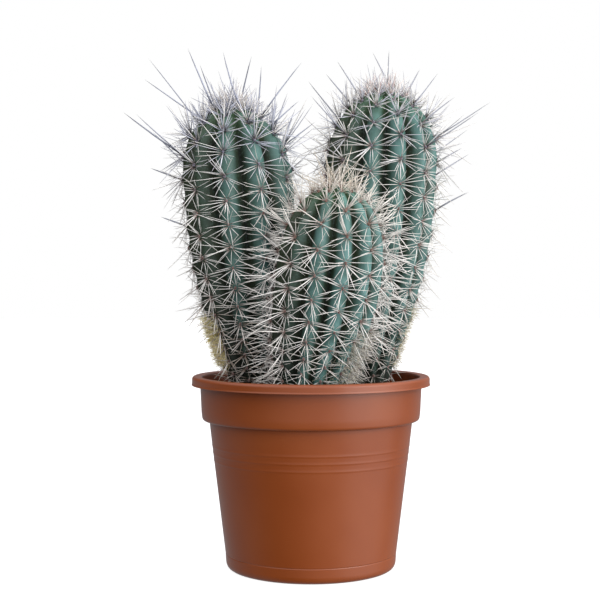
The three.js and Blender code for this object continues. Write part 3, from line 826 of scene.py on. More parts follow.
# %% [markdown]
# ## How a spine is made
#
# A spine is a needle that tapers to a point and bows a little. There are thousands, so each gets
# three rings of five points, a closed root and a tip, and all spines of one stem are worked out
# together as one array. Before they are made, their lines are tested against the flesh of every
# stem, the soil and the pot. A spine that would run into one of them is turned outwards and cut a
# little shorter, again and again, until it is free, as a growing spine is pushed aside.

# %% Air round the stems
def air_to(stem, points):
    """Distance from points to the skin: sideways below the dome, and along the ray from the middle
    of the dome's base above it. Negative inside."""
    v = (points[..., 2] - SOIL_Z) / stem.height
    x, y = axis_at(stem, np.clip(v, 0, 1))
    dx, dy = points[..., 0] - x, points[..., 1] - y
    beside = np.hypot(dx, dy)
    crest = crest_at(stem, np.arctan2(dx, -dy))
    rib = 1 - FURROW_DEPTH * np.clip(v / FURROW_FADE, 0, 1) * (1 - crest)
    above = (v - stem.dome) / (1 - stem.dome)
    share = np.hypot(beside / (stem.girth * rib), above)
    far = np.hypot(beside, above * (1 - stem.dome) * stem.height)
    over_dome = (1 - 1 / np.maximum(share, 1e-6)) * far
    return np.where(v < stem.dome, beside - girth_at(stem, np.clip(v, 0, 1)) * rib, over_dome)


SPINE_AIR = 0.8
SOIL_AIR = 1.5
POT_INSIDE = COLLAR_FOOT - WALL - 2.0  # no low spine reaches farther from the pot's axis
TALLEST = 420.0  # no spine of the plant stands higher


def free_of_everything(root, tip):
    """True where a spine's outer two thirds are clear of the stems, the soil and the pot."""
    clear = np.ones(len(root), bool)
    for share in (0.35, 0.6, 0.8, 1.0):
        point = root + (tip - root) * share
        for stem in STEMS:
            clear &= air_to(stem, point) > SPINE_AIR
        clear &= (point[:, 2] > SOIL_Z + SOIL_AIR) & (point[:, 2] < TALLEST)
        low = point[:, 2] < POT_HEIGHT + 2
        clear &= ~(low & (np.hypot(point[:, 0], point[:, 1]) > POT_INSIDE))
    return clear


above_left = np.array([*LEFT.crown, SOIL_Z + LEFT.height + 10])
left_air = round(float(air_to(LEFT, above_left)), 1)
print("A point 10 mm over the left crown has", left_air, "mm of air")


# %% Needle meshes
NEEDLE_SIDES = 5
NEEDLE_RINGS = ((0.0, 1.0), (0.45, 0.88), (0.8, 0.58))  # (share of the length, of the thickness)
print("A needle has", 2 * NEEDLE_SIDES * len(NEEDLE_RINGS), "triangles")


def needle_piece(name, root, tip, thickness, bow, material, **numbers):
    """Tapered needles. A ring's middle is on the straight line, moved aside by a parabola."""
    count = len(root)
    span = tip - root
    length = np.linalg.norm(span, axis=1, keepdims=True)
    along = span / length
    helper = np.where(np.abs(along[:, 2:]) < 0.8, [[0, 0, 1.0]], [[1.0, 0, 0]])
    first = unit(np.cross(along, helper))
    second = np.cross(along, first)
    spin = np.arange(NEEDLE_SIDES) / NEEDLE_SIDES * 2 * np.pi
    round_about = np.cos(spin)[:, None] * first[:, None] + np.sin(spin)[:, None] * second[:, None]
    rings = []
    for share, thick in NEEDLE_RINGS:
        middle = root + span * share + bow * length * 4 * share * (1 - share)
        rings.append(middle[:, None] + round_about * thickness[:, None, None] * thick)
    points = np.concatenate([*rings, root[:, None], tip[:, None]], 1)
    per_needle = points.shape[1]
    base = (np.arange(count) * per_needle)[:, None, None]
    ring = np.arange(NEEDLE_SIDES)
    last = ring + (len(NEEDLE_RINGS) - 1) * NEEDLE_SIDES
    caps = np.concatenate([fan(per_needle - 1, last), fan(per_needle - 2, ring, False)])
    quads = (ring_quads(len(NEEDLE_RINGS), NEEDLE_SIDES)[None] + base).reshape(-1, 4)
    shares = np.repeat([share for share, _ in NEEDLE_RINGS], NEEDLE_SIDES)
    shares = np.tile(np.append(shares, [0.0, 1.0]), count)
    numbers = {key: np.repeat(value, per_needle) for key, value in numbers.items()}
    points, triangles = points.reshape(-1, 3), (caps[None] + base).reshape(-1, 3)
    return make_piece(name, points, quads, triangles, material, along=shares, **numbers)


# %% [markdown]
# ## The spines of an areole
#
# The photograph shows the same pattern on every areole. Four or so spines lie out flat to each
# side like the teeth of a comb, three or four fan down, two short ones point up, and one to three
# stout ones stand out from the middle. On old growth those point down and outwards. Near the
# crown they are several times longer and stand up and out, and on the flanks of the front stem
# there are more of them. The flat spines are written as one list, and each pad takes most of them.

# %% Spine pattern
# heading (0 right, 90 up the rib), rise off the skin, length, half thickness, place on the pad
# (right, up), all in degrees and millimetres
COMB_TEETH = ((16, 19.5, 1.7), (4, 22.0, 0.6), (-8, 22.5, -0.5), (-21, 20.0, -1.6))
COMB = [(90 - way * 90 + way * tilt, 15, length, 0.28, (way * 0.8, high))
        for way in (1, -1) for tilt, length, high in COMB_TEETH]
FAN = [(heading, 15, length, 0.26, ((heading - 270) * 0.03, -2.0))
       for heading, length in ((226, 16.5), (252, 14.5), (288, 14.5), (314, 16.5))]
UPRIGHT = [(62, 28, 12.5, 0.25, (0.5, 2.0)), (118, 28, 12.5, 0.25, (-0.5, 2.0))]
RADIALS = COMB + FAN + UPRIGHT
RADIAL_SPREAD = (9, 8, 0.2)  # how far heading, rise and length stray, as one standard deviation
# lowest and highest heading, rise, share of old pads with one, share of young pads
CENTRALS = ((205, 335, 48, 0.9, 1.0), (245, 300, 42, 0.5, 1.0), (20, 160, 60, 0.35, 1.0),
            (170, 370, 50, 0.3, 1.0), (170, 370, 38, 0.1, 0.9), (20, 160, 42, 0.0, 0.9),
            (0, 360, 34, 0.0, 0.8), (0, 360, 30, 0.0, 0.7))
# stem: length of centrals on old pads, longest on young ones, half thickness, and how many more
# there are on the ribs to either side
CENTRAL_FORM = {
    "stem_left": (23, 50, 0.46, 0),
    "stem_right": (22, 46, 0.45, 0),
    "stem_front": (30, 35, 0.4, 0.6),
}
ROOT_DEPTH = 0.6  # how deep a spine's root is sunk in its pad
print("A pad has up to", len(RADIALS), "flat spines and", len(CENTRALS), "stout ones")


def turned_by(side, up, out, heading, rise):
    """Direction with a heading round the pad and a rise off the skin."""
    flat = np.cos(rise)[:, None]
    across = np.cos(heading)[:, None] * side + np.sin(heading)[:, None] * up
    return flat * across + np.sin(rise)[:, None] * out


def draw(random, pads, pattern, spread):
    """One spine of the pattern on each pad, with a random spread of (heading, rise, length)."""
    heading, rise, length, thick, (right, high) = pattern
    count = len(pads["v"])
    heading = np.radians(heading + spread[0] * random.standard_normal(count))
    rise = np.radians(rise + spread[1] * random.standard_normal(count))
    length = length * (1 + spread[2] * random.standard_normal(count))
    root = pads["centre"] + right * pads["side"] + high * pads["up"] - ROOT_DEPTH * pads["out"]
    return {
        "pad": np.arange(count),
        "root": root,
        "heading": heading,
        "rise": rise,
        "length": np.maximum(length, 4.0) * pads["room"],
        "thickness": np.full(count, thick),
    }


# %% [markdown]
# Two things change the pattern from pad to pad. Where the ribs are narrow, near the foot, a pad has
# less room, so its spines are fewer, shorter and finer. And where a mat of old fuzz covers the
# skin, most of the spines have gone.

# %% Fuzz and room
# stem: lowest and highest height share, lowest and highest angle, number, length, how golden
FUZZ = {
    "stem_left": (0.1, 0.265, -124, -54, 2600, 9.0, 1.0),
    "stem_right": (0.08, 0.28, 66, 125, 1100, 7.5, 0.3),
    "stem_front": (0.03, 0.32, 25, 112, 750, 14.0, 0.0),
}


def in_fuzz(stem, v, angle):
    """1 in the middle of the stem's mat of old fuzz, and 0 outside it."""
    low, high, start, end = FUZZ[stem.name][:4]
    middle, half = np.radians((start + end) / 2), np.radians((end - start) / 2)
    across = ((angle - middle + np.pi) % (2 * np.pi) - np.pi) / half
    upwards = (2 * v - low - high) / (high - low)
    return np.clip(1.6 - 1.6 * np.hypot(across, upwards) ** 2, 0, 1)


ROOMY = 22  # millimetres between crests at which spines reach their full length
YOUNG_FROM, YOUNG_SPAN = 0.66, 0.3  # height shares over which old growth turns into young


def pads_of(stem):
    """Centres, directions and room of all the pads of a stem, as arrays."""
    places, on_ribs = areoles_of(stem)
    v, angle = places.T
    side, up, out = frames_at(stem, v, angle)
    room = np.minimum(1, 2 * np.pi * girth_at(stem, v) / stem.ribs / ROOMY)
    young = np.clip((v - YOUNG_FROM) / YOUNG_SPAN, 0, 1)
    centre = skin_at(stem, v, angle, PAD_SEAT)
    rib = np.arange(len(v)) < on_ribs
    matted = in_fuzz(stem, v, angle)
    room = np.where(rib, np.maximum(room * (1 - 0.4 * matted), 0.4), 1)
    return {"v": v, "matted": matted, "centre": centre, "side": side, "up": up, "out": out,
            "room": room, "young": young, "rib": rib}


for stem in STEMS:
    print("Pads under the fuzz of", stem.name, int((pads_of(stem)["matted"] > 0.5).sum()))


# %% Settle the spines
def take(rows, chosen):
    """The chosen rows of every array in a dictionary."""
    return {key: value[chosen] for key, value in rows.items()}


def stacked(parts):
    """Several dictionaries of arrays joined end to end."""
    return {key: np.concatenate([part[key] for part in parts]) for key in parts[0]}


TRIES = 9
TURN_OUT, STEEPEST, SHORTEN = 0.16, 1.45, 0.88  # radians, radians, share of the length kept
print("A spine is given up when it is cut to", round(SHORTEN ** (TRIES - 1), 2), "of its length")


def settle(pads, spines):
    """Turns spines outwards and cuts them until they are free, and drops those that never are."""
    own = take(pads, spines["pad"])
    for _ in range(TRIES):
        direction = turned_by(own["side"], own["up"], own["out"], spines["heading"], spines["rise"])
        tip = spines["root"] + direction * spines["length"][:, None]
        stuck = ~free_of_everything(spines["root"], tip)
        steeper = np.minimum(spines["rise"] + TURN_OUT, STEEPEST)
        spines["rise"] = np.where(stuck, steeper, spines["rise"])
        spines["length"] = np.where(stuck, spines["length"] * SHORTEN, spines["length"])
    spines["tip"] = tip
    return take(spines, ~stuck)


# %% Radials and centrals
def radials_of(ribs, random):
    """Every pattern spine on most pads. Young pads have longer ones that stand up more, and pads
    with little room have fewer and finer ones."""
    parts = []
    for pattern in RADIALS:
        part = draw(random, ribs, pattern, RADIAL_SPREAD)
        part["rise"] = part["rise"] + 0.3 * ribs["young"]
        part["length"] = part["length"] * (1 + 0.15 * ribs["young"])
        part["thickness"] = part["thickness"] * (0.3 + 0.7 * ribs["room"])
        kept = (0.1 + 0.85 * ribs["room"]) * (1 - 0.6 * ribs["matted"])
        parts.append(take(part, random.random(len(part["pad"])) < kept))
    return parts


def centrals_of(stem, ribs, random):
    """Stout spines: down and out on old pads, and more, longer and upward on young ones.

    Young ones are shorter again round the growing point, and longer on the ribs to either side,
    where bushy stems have more of them."""
    count, young = len(ribs["v"]), ribs["young"]
    facing_aside = np.abs(ribs["out"][:, 0])
    aside = np.clip(facing_aside - 0.3, 0, 1) * CENTRAL_FORM[stem.name][3]
    old_length, young_length, thick = CENTRAL_FORM[stem.name][:3]
    parts = []
    for order, (low, high, rise, on_old, on_young) in enumerate(CENTRALS):
        part = draw(random, ribs, (0, rise, 1.0, 0.5, (0.4 * (order % 3 - 1), 0)), (0, 10, 0))
        downwards, upwards = random.uniform(low, high, count), random.uniform(20, 160, count)
        part["heading"] = np.radians(np.where(random.random(count) < young, upwards, downwards))
        old = old_length * random.uniform(0.75, 1.2, count) * np.maximum(ribs["room"], 0.6)
        grown = young_length * (0.4 + 0.6 * random.random(count) ** 2)
        grown = grown * (1 - 0.45 * np.clip((ribs["v"] - 0.86) / 0.1, 0, 1))
        grown = grown * (1 + 0.3 * facing_aside)
        part["length"] = old + (grown - old) * young
        fineness = 0.35 + 0.65 * ribs["room"] + 0.15 * young
        part["thickness"] = thick * fineness * random.uniform(0.75, 1.1, count)
        part["rise"] = np.minimum(part["rise"] + 1.2 * aside, 1.4)
        share = on_old * ribs["room"] * (1 - ribs["matted"]) + aside + (on_young - on_old) * young
        parts.append(take(part, random.random(count) < share))
    return parts


def spines_of(stem, random):
    """Radials and centrals of all the pads on the ribs, free of what is round them."""
    ribs = take(pads_of(stem), pads_of(stem)["rib"])
    spines = settle(ribs, stacked(radials_of(ribs, random) + centrals_of(stem, ribs, random)))
    spines["youth"], spines["v"] = ribs["young"][spines["pad"]], ribs["v"][spines["pad"]]
    return spines


for stem in STEMS:
    usual = spines_of(stem, np.random.default_rng(stem.seed))
    print(stem.name, "will have", len(usual["root"]), "spines on its ribs")

# %% [markdown]
# ## Crown tufts
#
# The growing point in the middle of each crown is packed with areoles that are only months old.
# Their bristles stand nearly upright in a dense tuft, straw-coloured on the front stem and pinkish
# or beige on the two tall ones. Round it, the next areoles down the ribs hold a looser brush,
# whose bristles stand more outwards and are as slate as the spines beside them.

# %% Crown tufts
# stem: bristle length, bristles on each pad, half thickness, lowest rise
TUFT = {
    "stem_left": (12, 7, 0.3, 40), "stem_right": (14, 5, 0.32, 35), "stem_front": (24, 3, 0.27, 22),
}
BRUSH = {
    "stem_left": (21, 7, 0.42, 12), "stem_right": (17, 6, 0.4, 15), "stem_front": (20, 2, 0.28, 10),
}
TUFT_SHARE, BRUSH_SHARE = 0.52, 0.84  # how far down they grow, as shares of the girth


def bristles_of(stem, random, form, reach):
    """Bristles on the pads of the dome inside a share of its girth, at any heading."""
    pads = pads_of(stem)
    crown = take(pads, ~pads["rib"] | (pads["v"] > dome_share(stem, reach)))
    length, number, thick, lowest = form[stem.name]
    count = len(crown["v"])
    parts = []
    for _ in range(number):
        part = draw(random, crown, (0, 0, length, thick, (0, 0)), (0, 0, 0.3))
        part["heading"] = random.uniform(0, 2 * np.pi, count)
        part["rise"] = np.radians(random.uniform(lowest, 85, count))
        part["root"] = part["root"] + 0.8 * random.standard_normal((count, 3))
        parts.append(part)
    spines = settle(crown, stacked(parts))
    spines["youth"] = np.ones(len(spines["pad"]))
    spines["v"] = crown["v"][spines["pad"]]
    return spines


for stem in STEMS:
    print("The brush of", stem.name, "is of bristles about", BRUSH[stem.name][0], "mm long")

# %% [markdown]
# ## The longest spines
#
# A few spines decide the outline of the plant, because they stand alone against the pale ground.
# Each is listed by the photograph pixels of its root and its tip. The root is moved to the
# nearest pad in the picture, so that from any side the spine grows out of an areole, and the tip
# goes as far towards or away from the camera as the pad faces. The side that the photograph hides
# gets its share of long spines too, by a draw.

# %% Longest spines
OUTLINE_SPINES = {  # stem: (root pixel, tip pixel), ...
    "stem_left": (
        ((184, 146), (123, 112)), ((196, 119), (144, 79)), ((204, 129), (148, 58)),
        ((214, 111), (187.6, 48)), ((243, 116.5), (223, 51.5)), ((222, 112), (210, 81)),
        ((270.5, 104), (302, 62)), ((186, 176), (150, 168)), ((190, 222), (161, 217)),
        ((268, 124), (299, 101)), ((283, 140), (315, 122)), ((190, 150), (136, 114)),
    ),
    "stem_right": (
        ((386, 92), (389, 50)), ((360, 101), (337, 61)), ((352, 108), (326, 74)),
        ((346, 118), (308, 81)), ((341, 132), (311, 96)), ((402, 102), (420, 69)),
        ((412, 110), (438, 73)), ((421, 122), (455, 97)), ((430, 138), (490.5, 102)),
        ((432, 146), (479, 112)), ((436, 165), (462, 148)), ((437, 176), (469, 154)),
        ((438, 205), (469, 192)),
    ),
    "stem_front": (),
}
# stem: number, length
FAR_SIDE_SPINES = {"stem_left": (6, 46), "stem_right": (8, 54), "stem_front": (0, 0)}
HIDDEN = 60.0  # pixels added to the distance of a pad that faces away from the camera
print("Listed spines:", sum(len(spines) for spines in OUTLINE_SPINES.values()))


def far_side_spines(stem, random):
    """Long spines on high pads that face away from the camera, cut off at the tallest height."""
    pads = pads_of(stem)
    away = np.flatnonzero(pads["rib"] & (pads["out"][:, 1] > 0.35) & (pads["v"] > 0.72))
    number, length = FAR_SIDE_SPINES[stem.name]
    chosen = take(pads, random.permutation(away)[:number])
    count = len(chosen["v"])
    heading, rise = random.uniform(0.9, 2.2, count), random.uniform(0.55, 0.8, count)
    direction = turned_by(chosen["side"], chosen["up"], chosen["out"], heading, rise)
    root = chosen["centre"] - ROOT_DEPTH * chosen["out"]
    span = direction * length * random.uniform(0.95, 1.15, count)[:, None]
    too_tall = span[:, 2:] / (TALLEST - root[:, 2:])
    return {"root": root, "tip": root + span / np.maximum(too_tall, 1)}


def outline_spines(stem):
    """Spines from the nearest pad to the listed tip, leaning in depth as the pad faces."""
    pads = pads_of(stem)
    listed = np.array(OUTLINE_SPINES[stem.name], float).reshape(-1, 2, 2)
    seen = seen_at(pads["centre"])
    hidden = np.where(pads["out"][:, 1] > 0.4, HIDDEN, 0.0)
    apart = np.linalg.norm(seen[None] - listed[:, 0, None], axis=-1) + hidden
    pad = apart.argmin(1)
    root = pads["centre"][pad] - ROOT_DEPTH * pads["out"][pad]
    depth = root[:, 1] + 14 * pads["out"][pad][:, 1]
    return {"root": root, "tip": point_behind(listed[:, 1], depth)}


# %% [markdown]
# Now the spines of each stem are joined into one mesh, and given the colours of their age. The
# draws are seeded, so the same plant grows every time.

# %% Make all the spines
SLATE_SHARE = {"stem_left": 0.7, "stem_right": 0.45, "stem_front": 0.0}  # of the young spines
STRAW = {"stem_left": 0.3, "stem_right": 0.3, "stem_front": 0.85}
WEATHER = {"stem_left": 2.2, "stem_right": 0.8, "stem_front": 0.4}
PINK = {"stem_left": 0.1, "stem_right": 0.8, "stem_front": 0.05}
MOST_SLATE, LEAST_SLATE = 0.85, 0.15
BEND = 0.01  # of the length


def grow(stem):
    """The spines of one stem: the usual ones, the crown's tuft, and the longest ones."""
    random = np.random.default_rng(stem.seed)
    usual = stacked([spines_of(stem, random), bristles_of(stem, random, BRUSH, BRUSH_SHARE)])
    tuft = bristles_of(stem, random, TUFT, TUFT_SHARE)
    longest = stacked([outline_spines(stem), far_side_spines(stem, random)])
    number = [len(part["root"]) for part in (usual, tuft, longest)]
    total, is_longest = sum(number), np.repeat([False, False, True], number)
    longest["thickness"] = random.uniform(0.55, 0.8, number[2])
    longest["youth"] = longest["v"] = np.ones(number[2])
    root, tip, thickness, youth, v = (
        np.concatenate([part[key] for part in (usual, tuft, longest)])
        for key in ("root", "tip", "thickness", "youth", "v")
    )
    in_tuft = np.repeat([0.0, 1.0, 0.0], number)
    dusty = np.clip((youth - 0.1) / 0.6, 0, 1) * (1 - in_tuft)
    drawn = random.random(total) < SLATE_SHARE[stem.name]
    dusted = np.where(is_longest, 1.0, np.where(drawn, MOST_SLATE, LEAST_SLATE))
    straw = STRAW[stem.name] * np.maximum(in_tuft, 0.5 * youth) * random.uniform(0.5, 1, total)
    pink = PINK[stem.name] * in_tuft * random.uniform(0.3, 1, total)
    near_foot = 1 - smooth(v, 0.05, 0.45)
    weather = np.minimum(WEATHER[stem.name] * near_foot * random.random(total), 1)
    bow = BEND * random.standard_normal((total, 3))
    shade = random.random(total) - is_longest  # the longest spines are the darkest
    piece = needle_piece(
        stem.name + "_spines", root, tip, thickness, bow, HORN,
        slate=SLATE[stem.name] * dusty * dusted, straw=straw, pink=pink, weather=weather,
        shade=shade,
    )
    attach(piece, "root")


for stem in STEMS:
    grow(stem)

# %% [markdown]
# ## Old fuzz at the foot
#
# Low on the outer side of each tall stem, and at the right foot of the front one, the old rind is
# hidden by a mat of short fine bristles, left from when the plant was a seedling. It is yellow at
# the left, and whiter at the right. The bristles stand out by about a centimetre. Each is a tiny
# needle with its root anywhere on the skin, and more of them grow in the middle of the mat than at
# its sides.

# %% Foot fuzz
FUZZ_WHITE = [(0.0, "#7d766b"), (0.5, "#b5aea2"), (1.0, "#e0dacf")]
FUZZ_GOLD = [(0.0, "#cdb96f"), (0.5, "#f8e6a6"), (1.0, "#fff5cf")]


def seedling_bristles():
    """Fine hair: white to pale gold, dull, and bright with the light that passes through it."""
    material, add = new_material("seedling_bristles")
    shade, gold = (
        add("Attribute", attribute_name=name).outputs["Fac"] for name in ("shade", "gold")
    )
    white, yellow = (
        add("ValToRGB", {0: shade}, stops).outputs[0] for stops in (FUZZ_WHITE, FUZZ_GOLD)
    )
    shader = add("BsdfPrincipled", {
        "Base Color": add("Mix", {0: gold, 6: white, 7: yellow}, data_type="RGBA").outputs[2],
        "Roughness": 0.6,
        "Subsurface Weight": 0.4,
        "Subsurface Radius": (1.0, 0.9, 0.6),
        "Subsurface Scale": 1.0 * MM,
    })
    add("OutputMaterial", {"Surface": shader.outputs[0]})
    return material


BRISTLE = seedling_bristles()
BRISTLE_HALF, BRISTLE_BEND = 0.16, 0.08  # half thickness, and how far it bends for its length
FRINGE = 1.25  # how far the thin edge of a mat reaches, for its half width


def fuzz_piece(stem):
    """Fine bristles that stand anywhere from 20 to 86 degrees off the skin, in any heading."""
    low, high, start, end, count, length, gold = FUZZ[stem.name]
    random = np.random.default_rng(stem.seed + 500)
    v = random.uniform(low, high, count)
    middle, half = (start + end) / 2, (end - start) / 2
    angle = np.radians(middle + half * (random.random(count) + random.random(count) - 1) * FRINGE)
    side, up, out = frames_at(stem, v, angle)
    rise = random.uniform(0.35, 1.5, count)
    direction = turned_by(side, up, out, random.uniform(0, 2 * np.pi, count), rise)
    root = skin_at(stem, v, angle) - 0.5 * out
    tip = root + direction * (length * random.uniform(0.5, 1.3, count))[:, None]
    free = free_of_everything(root, tip)
    number = int(free.sum())
    piece = needle_piece(
        stem.name + "_fuzz", root[free], tip[free], np.full(number, BRISTLE_HALF),
        BRISTLE_BEND * random.standard_normal((number, 3)), BRISTLE,
        gold=np.full(number, gold), shade=random.random(number),
    )
    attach(piece, "root")


for stem in STEMS:
    fuzz_piece(stem)

# %% [markdown]
# ## Potting soil
#
# Cactus compost is peat and ground bark with a few white grains of perlite. Its top is a lumpy
# disc a little below the rim. The fill itself is a turned shape whose top is raised and lowered by
# a few waves, and loose crumbs are strewn over it. The crumbs are lopsided lumps with few faces,
# half sunk, and they keep clear of the stems.

# %% Soil material
def peat_and_bark():
    """Dark fibrous crumbs, blotched over 3 mm and 0.8 mm, with no gloss at all."""
    material, add = new_material("peat_and_bark")
    place = add("TexCoord").outputs["Object"]
    lump = add("TexNoise", {"Vector": place, "Scale": 1 / (3 * MM), "Detail": 5}).outputs[0]
    crumb = add("TexNoise", {"Vector": place, "Scale": 1 / (0.8 * MM), "Detail": 3}).outputs[0]
    peat = [(0.3, "#1d140f"), (0.5, "#33251b"), (0.72, "#4d3a2a")]
    colour = add("ValToRGB", {0: lump}, peat).outputs[0]
    bark = add("MapRange", {0: crumb, 1: 0.6, 2: 0.8, 4: 0.5}).outputs[0]
    colour = add("Mix", {0: bark, 6: colour, 7: linear("#6b5238")}, data_type="RGBA").outputs[2]
    shader = add("BsdfPrincipled", {
        "Base Color": colour,
        "Roughness": 0.95,
        "Normal": add("Bump", {"Height": lump, "Distance": 2.0 * MM}).outputs[0],
    })
    add("OutputMaterial", {"Surface": shader.outputs[0]})
    return material


def crumb_mix():
    """Bark chips and peat lumps, each with its own shade, and a few white perlite grains."""
    material, add = new_material("bark_peat_and_perlite")
    place = add("TexCoord").outputs["Object"]
    shade = add("Attribute", attribute_name="shade").outputs["Fac"]
    kinds = [(0.0, "#1f1611"), (0.5, "#3d2b1e"), (0.85, "#6a4a30"), (0.93, "#cfc8ba")]
    own = add("ValToRGB", {0: shade}, kinds).outputs[0]
    grain = add("TexNoise", {"Vector": place, "Scale": 1 / (0.7 * MM), "Detail": 3}).outputs[0]
    dull = add("MapRange", {0: grain, 1: 0.3, 2: 0.7, 3: 0.7, 4: 1.1}).outputs[0]
    grey = add("CombineColor", {0: dull, 1: dull, 2: dull}).outputs[0]
    shaded = add("Mix", {0: 1.0, 6: own, 7: grey}, data_type="RGBA", blend_type="MULTIPLY")
    shader = add("BsdfPrincipled", {
        "Base Color": shaded.outputs[2],
        "Roughness": 0.9,
        "Normal": add("Bump", {"Height": grain, "Distance": 0.4 * MM}).outputs[0],
    })
    add("OutputMaterial", {"Surface": shader.outputs[0]})
    return material


SOIL_MATERIAL, CRUMB_MATERIAL = peat_and_bark(), crumb_mix()
print("Made", SOIL_MATERIAL.name, "and", CRUMB_MATERIAL.name)

# %% Soil fill
SOIL_GAP = 0.3
SOIL_SIDES = 120
SOIL_EDGE = COLLAR_FOOT - WALL - SOIL_GAP + 0.9


def soil_height(x, y):
    """The top: long waves and short lumps, which fade out at the wall."""
    waves = np.sin(x * 0.31) * np.cos(y * 0.27) + 0.5 * np.sin(x * 0.13 - y * 0.19)
    lumps = 0.35 * np.sin(x * 0.9 + 1.3 * np.sin(y * 0.5)) * np.sin(y * 1.1 + np.cos(x * 0.7))
    inside = np.clip((SOIL_EDGE - np.hypot(x, y)) / 8, 0, 1)
    return SOIL_Z - inside * (1.1 - 0.6 * waves - lumps)


def soil_piece():
    """A turned fill that follows the pot's inside, with its top moved to the lumpy height."""
    inset = WALL + SOIL_GAP
    wall = [(body_radius(FLOOR) - inset - 4, FLOOR + SOIL_GAP)]
    wall += [(body_radius(FLOOR + 5) - inset, FLOOR + 5)]
    wall += [(BODY_TOP - inset, SHOULDER_Z + 1 + SOIL_GAP), (COLLAR_FOOT - inset, COLLAR_FOOT_Z)]
    top = [(SOIL_EDGE * share, SOIL_Z) for share in np.linspace(1, 0.01, 70)]
    outline = np.array([(0, FLOOR + SOIL_GAP), *wall, *top, (0, SOIL_Z)], float)
    points, quads, triangles = turned(outline, SOIL_SIDES)
    on_top = points[:, 2] > SOIL_Z - 0.01
    points[on_top, 2] = soil_height(points[on_top, 0], points[on_top, 1])
    return make_piece("soil_fill", points, quads, triangles, SOIL_MATERIAL)


piece = soil_piece()
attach(piece, "root")
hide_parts("soil")

# %% Loose crumbs
CRUMBS = 1500
CRUMB_AIR = 0.6  # between a crumb and a stem


def crumb_shape():
    """A ball of twenty triangles: the corners of three golden rectangles at right angles."""
    golden = (1 + 5**0.5) / 2
    corners = [(0, a, b * golden) for a in (-1, 1) for b in (-1, 1)]
    corners = np.array([np.roll(c, turn) for turn in range(3) for c in corners], float)
    order = np.arange(len(corners))
    i, j, k = np.meshgrid(order, order, order, indexing="ij")
    edge = np.linalg.norm(corners[:, None] - corners[None], axis=-1) < 2.1
    near = edge[i, j] & edge[j, k] & edge[k, i] & (i < j) & (i < k) & (j != k)
    faces = np.stack([i[near], j[near], k[near]], -1)
    first, second, third = (corners[faces[:, column]] for column in range(3))
    outward = np.einsum("ij,ij->i", first, np.cross(second, third))
    return unit(corners), faces[outward > 0]


def crumbs_piece():
    """Lumps at random places on the soil, each squashed and dented in its own way."""
    random = np.random.default_rng(8)
    spots = (SOIL_EDGE - 3) * np.sqrt(random.random(CRUMBS))
    turn = random.uniform(0, 2 * np.pi, CRUMBS)
    x, y = spots * np.cos(turn), spots * np.sin(turn)
    size = 0.7 + 1.5 * random.random(CRUMBS) ** 2.5
    centre = np.stack([x, y, soil_height(x, y) + 0.1 * size], -1)
    probe = centre + [0, 0, 1.0]
    clear = np.all([air_to(stem, probe) > size + CRUMB_AIR for stem in STEMS], 0)
    shape, faces = crumb_shape()
    stretch = random.uniform(0.6, 1.4, (CRUMBS, 1, 3)) * [1, 1, 0.7]
    dents = random.uniform(0.75, 1.2, (CRUMBS, len(shape), 1))
    points = centre[:, None] + size[:, None, None] * shape * stretch * dents
    points, count = points[clear], int(clear.sum())
    base = (np.arange(count) * len(shape))[:, None, None]
    triangles = (faces[None] + base).reshape(-1, 3)
    shade = np.repeat(random.random(CRUMBS)[clear], len(shape))
    no_quads = np.zeros((0, 4), int)
    points = points.reshape(-1, 3)
    return make_piece("soil_crumbs", points, no_quads, triangles, CRUMB_MATERIAL, shade=shade)


piece = crumbs_piece()
# flat faces, as on broken bark
piece.data.polygons.foreach_set("use_smooth", np.zeros(len(piece.data.polygons), bool))
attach(piece, "root")

# %% [markdown]
# ## Floor and light
#
# The pot stands on a plain pale floor, which only the camera sees: it would otherwise throw light
# up at the pot that the photograph doesn't show. The photograph was lit by one large window at the
# front right, under a pale ceiling, with dark surroundings at the left. The window is an area
# light, and the larger it is against its distance, the softer its shadows are. The rest of the room
# is painted into the world, as glows that each grow smoothly towards one direction: a pale wall at
# the right, a small bright glow that makes the upright highlight on the plastic, a wide one
# overhead that leans to the front, and a weak one from below at the back left.

# %% Floor
def floor_paint():
    """Matt pale paint, a little lit from within, with a faint cloudiness 400 mm wide."""
    material, add = new_material("matt_floor_paint")
    place = add("TexCoord").outputs["Object"]
    cloud = add("TexNoise", {"Vector": place, "Scale": 1 / (400 * MM), "Detail": 2}).outputs[0]
    shader = add("BsdfPrincipled", {
        "Base Color": add("ValToRGB", {0: cloud}, [(0.3, "#908f8e"), (0.7, "#949392")]).outputs[0],
        "Roughness": 0.85,
        "Emission Color": linear("#ffffff"),
        "Emission Strength": 0.88,
    })
    add("OutputMaterial", {"Surface": shader.outputs[0]})
    return material


FLOOR_REACH = 6000.0
corners = np.array([(-1, -1, 0), (1, -1, 0), (1, 1, 0), (-1, 1, 0)], float) * FLOOR_REACH
quad = np.array([[0, 1, 2, 3]])
floor = make_piece("floor", corners, quad, np.zeros((0, 3), int), floor_paint())
floor.visible_diffuse = floor.visible_glossy = floor.visible_shadow = False


# %% Lights
def softbox(name, place, target, width, height, watts, colour):
    """An area light that faces a target; places and sizes are in millimetres."""
    data = bpy.data.lights.new(name, "AREA")
    data.shape = "RECTANGLE"
    data.size, data.size_y = width * MM, height * MM
    data.energy = watts
    data.color = linear(colour)[:3]
    light = bpy.data.objects.new(name, data)
    place, target = np.array(place, float) * MM, np.array(target, float) * MM
    light.location = place
    x, y, z = target - place
    light.rotation_euler = (np.arctan2(np.hypot(x, y), -z), 0, np.arctan2(y, x) - np.pi / 2)
    bpy.context.scene.collection.objects.link(light)


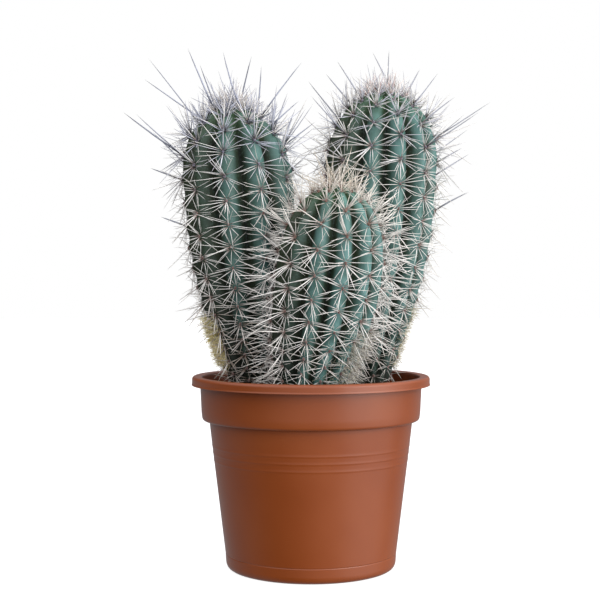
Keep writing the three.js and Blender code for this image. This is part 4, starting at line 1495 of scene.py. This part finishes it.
def heading_of(azimuth, reach=1.0, height=0.0):
    """A direction or place. Its azimuth is from the camera's side towards +X, in degrees."""
    return (reach * np.sin(np.radians(azimuth)), -reach * np.cos(np.radians(azimuth)), height)


WINDOW_AZIMUTH, WINDOW_AWAY, WINDOW_MIDDLE = 54.0, 1300, 520
WINDOW_WIDE, WINDOW_TALL, WINDOW_WATTS = 1200, 1040, 9.9
softbox(
    "window", heading_of(WINDOW_AZIMUTH, WINDOW_AWAY, WINDOW_MIDDLE), (0, 0, WINDOW_MIDDLE),
    WINDOW_WIDE, WINDOW_TALL, WINDOW_WATTS, "#fffdfa",
)

# %% World
DIM = 0.06  # the strength of the darkest side
GLOWS = (  # direction, where the glow starts and is full as the cosine of the angle to it, strength
    (heading_of(105), -0.5, 0.5, 0.3),  # the pale wall
    (heading_of(72), 0.7, 0.95, 1.0),  # the highlight
    (heading_of(15, 0.47, 0.88), -0.05, 0.75, 1.7),  # overhead
    (heading_of(-125, 0.7, -0.71), 0.4, 0.95, 0.35),  # from below, at the back left
)
world = bpy.data.worlds.new("pale_room")
world.use_nodes = True
world.node_tree.nodes.clear()
add = partial(add_node, world.node_tree)
direction = add("TexCoord").outputs["Generated"]
strength = DIM
for towards, start, full, most in GLOWS:
    cosine = add("VectorMath", {0: direction, 1: towards}, operation="DOT_PRODUCT").outputs["Value"]
    part = {0: cosine, 1: start, 2: full, 4: most}
    part = add("MapRange", part, interpolation_type="SMOOTHSTEP").outputs[0]
    strength = add("Math", {0: part, 1: strength}, operation="ADD").outputs[0]
seen = add("Background", {"Color": linear("#ffffff"), "Strength": 1.0}).outputs[0]
lit = add("Background", {"Color": linear("#f6f9ff"), "Strength": strength}).outputs[0]
rays = add("LightPath").outputs["Is Camera Ray"]
both = add("MixShader", {0: rays, 1: lit, 2: seen}).outputs[0]
add("OutputWorld", {"Surface": both})
bpy.context.scene.world = world
bpy.context.scene.view_settings.view_transform = "Standard"
print("The room has", len(GLOWS), "glows over a strength of", DIM)
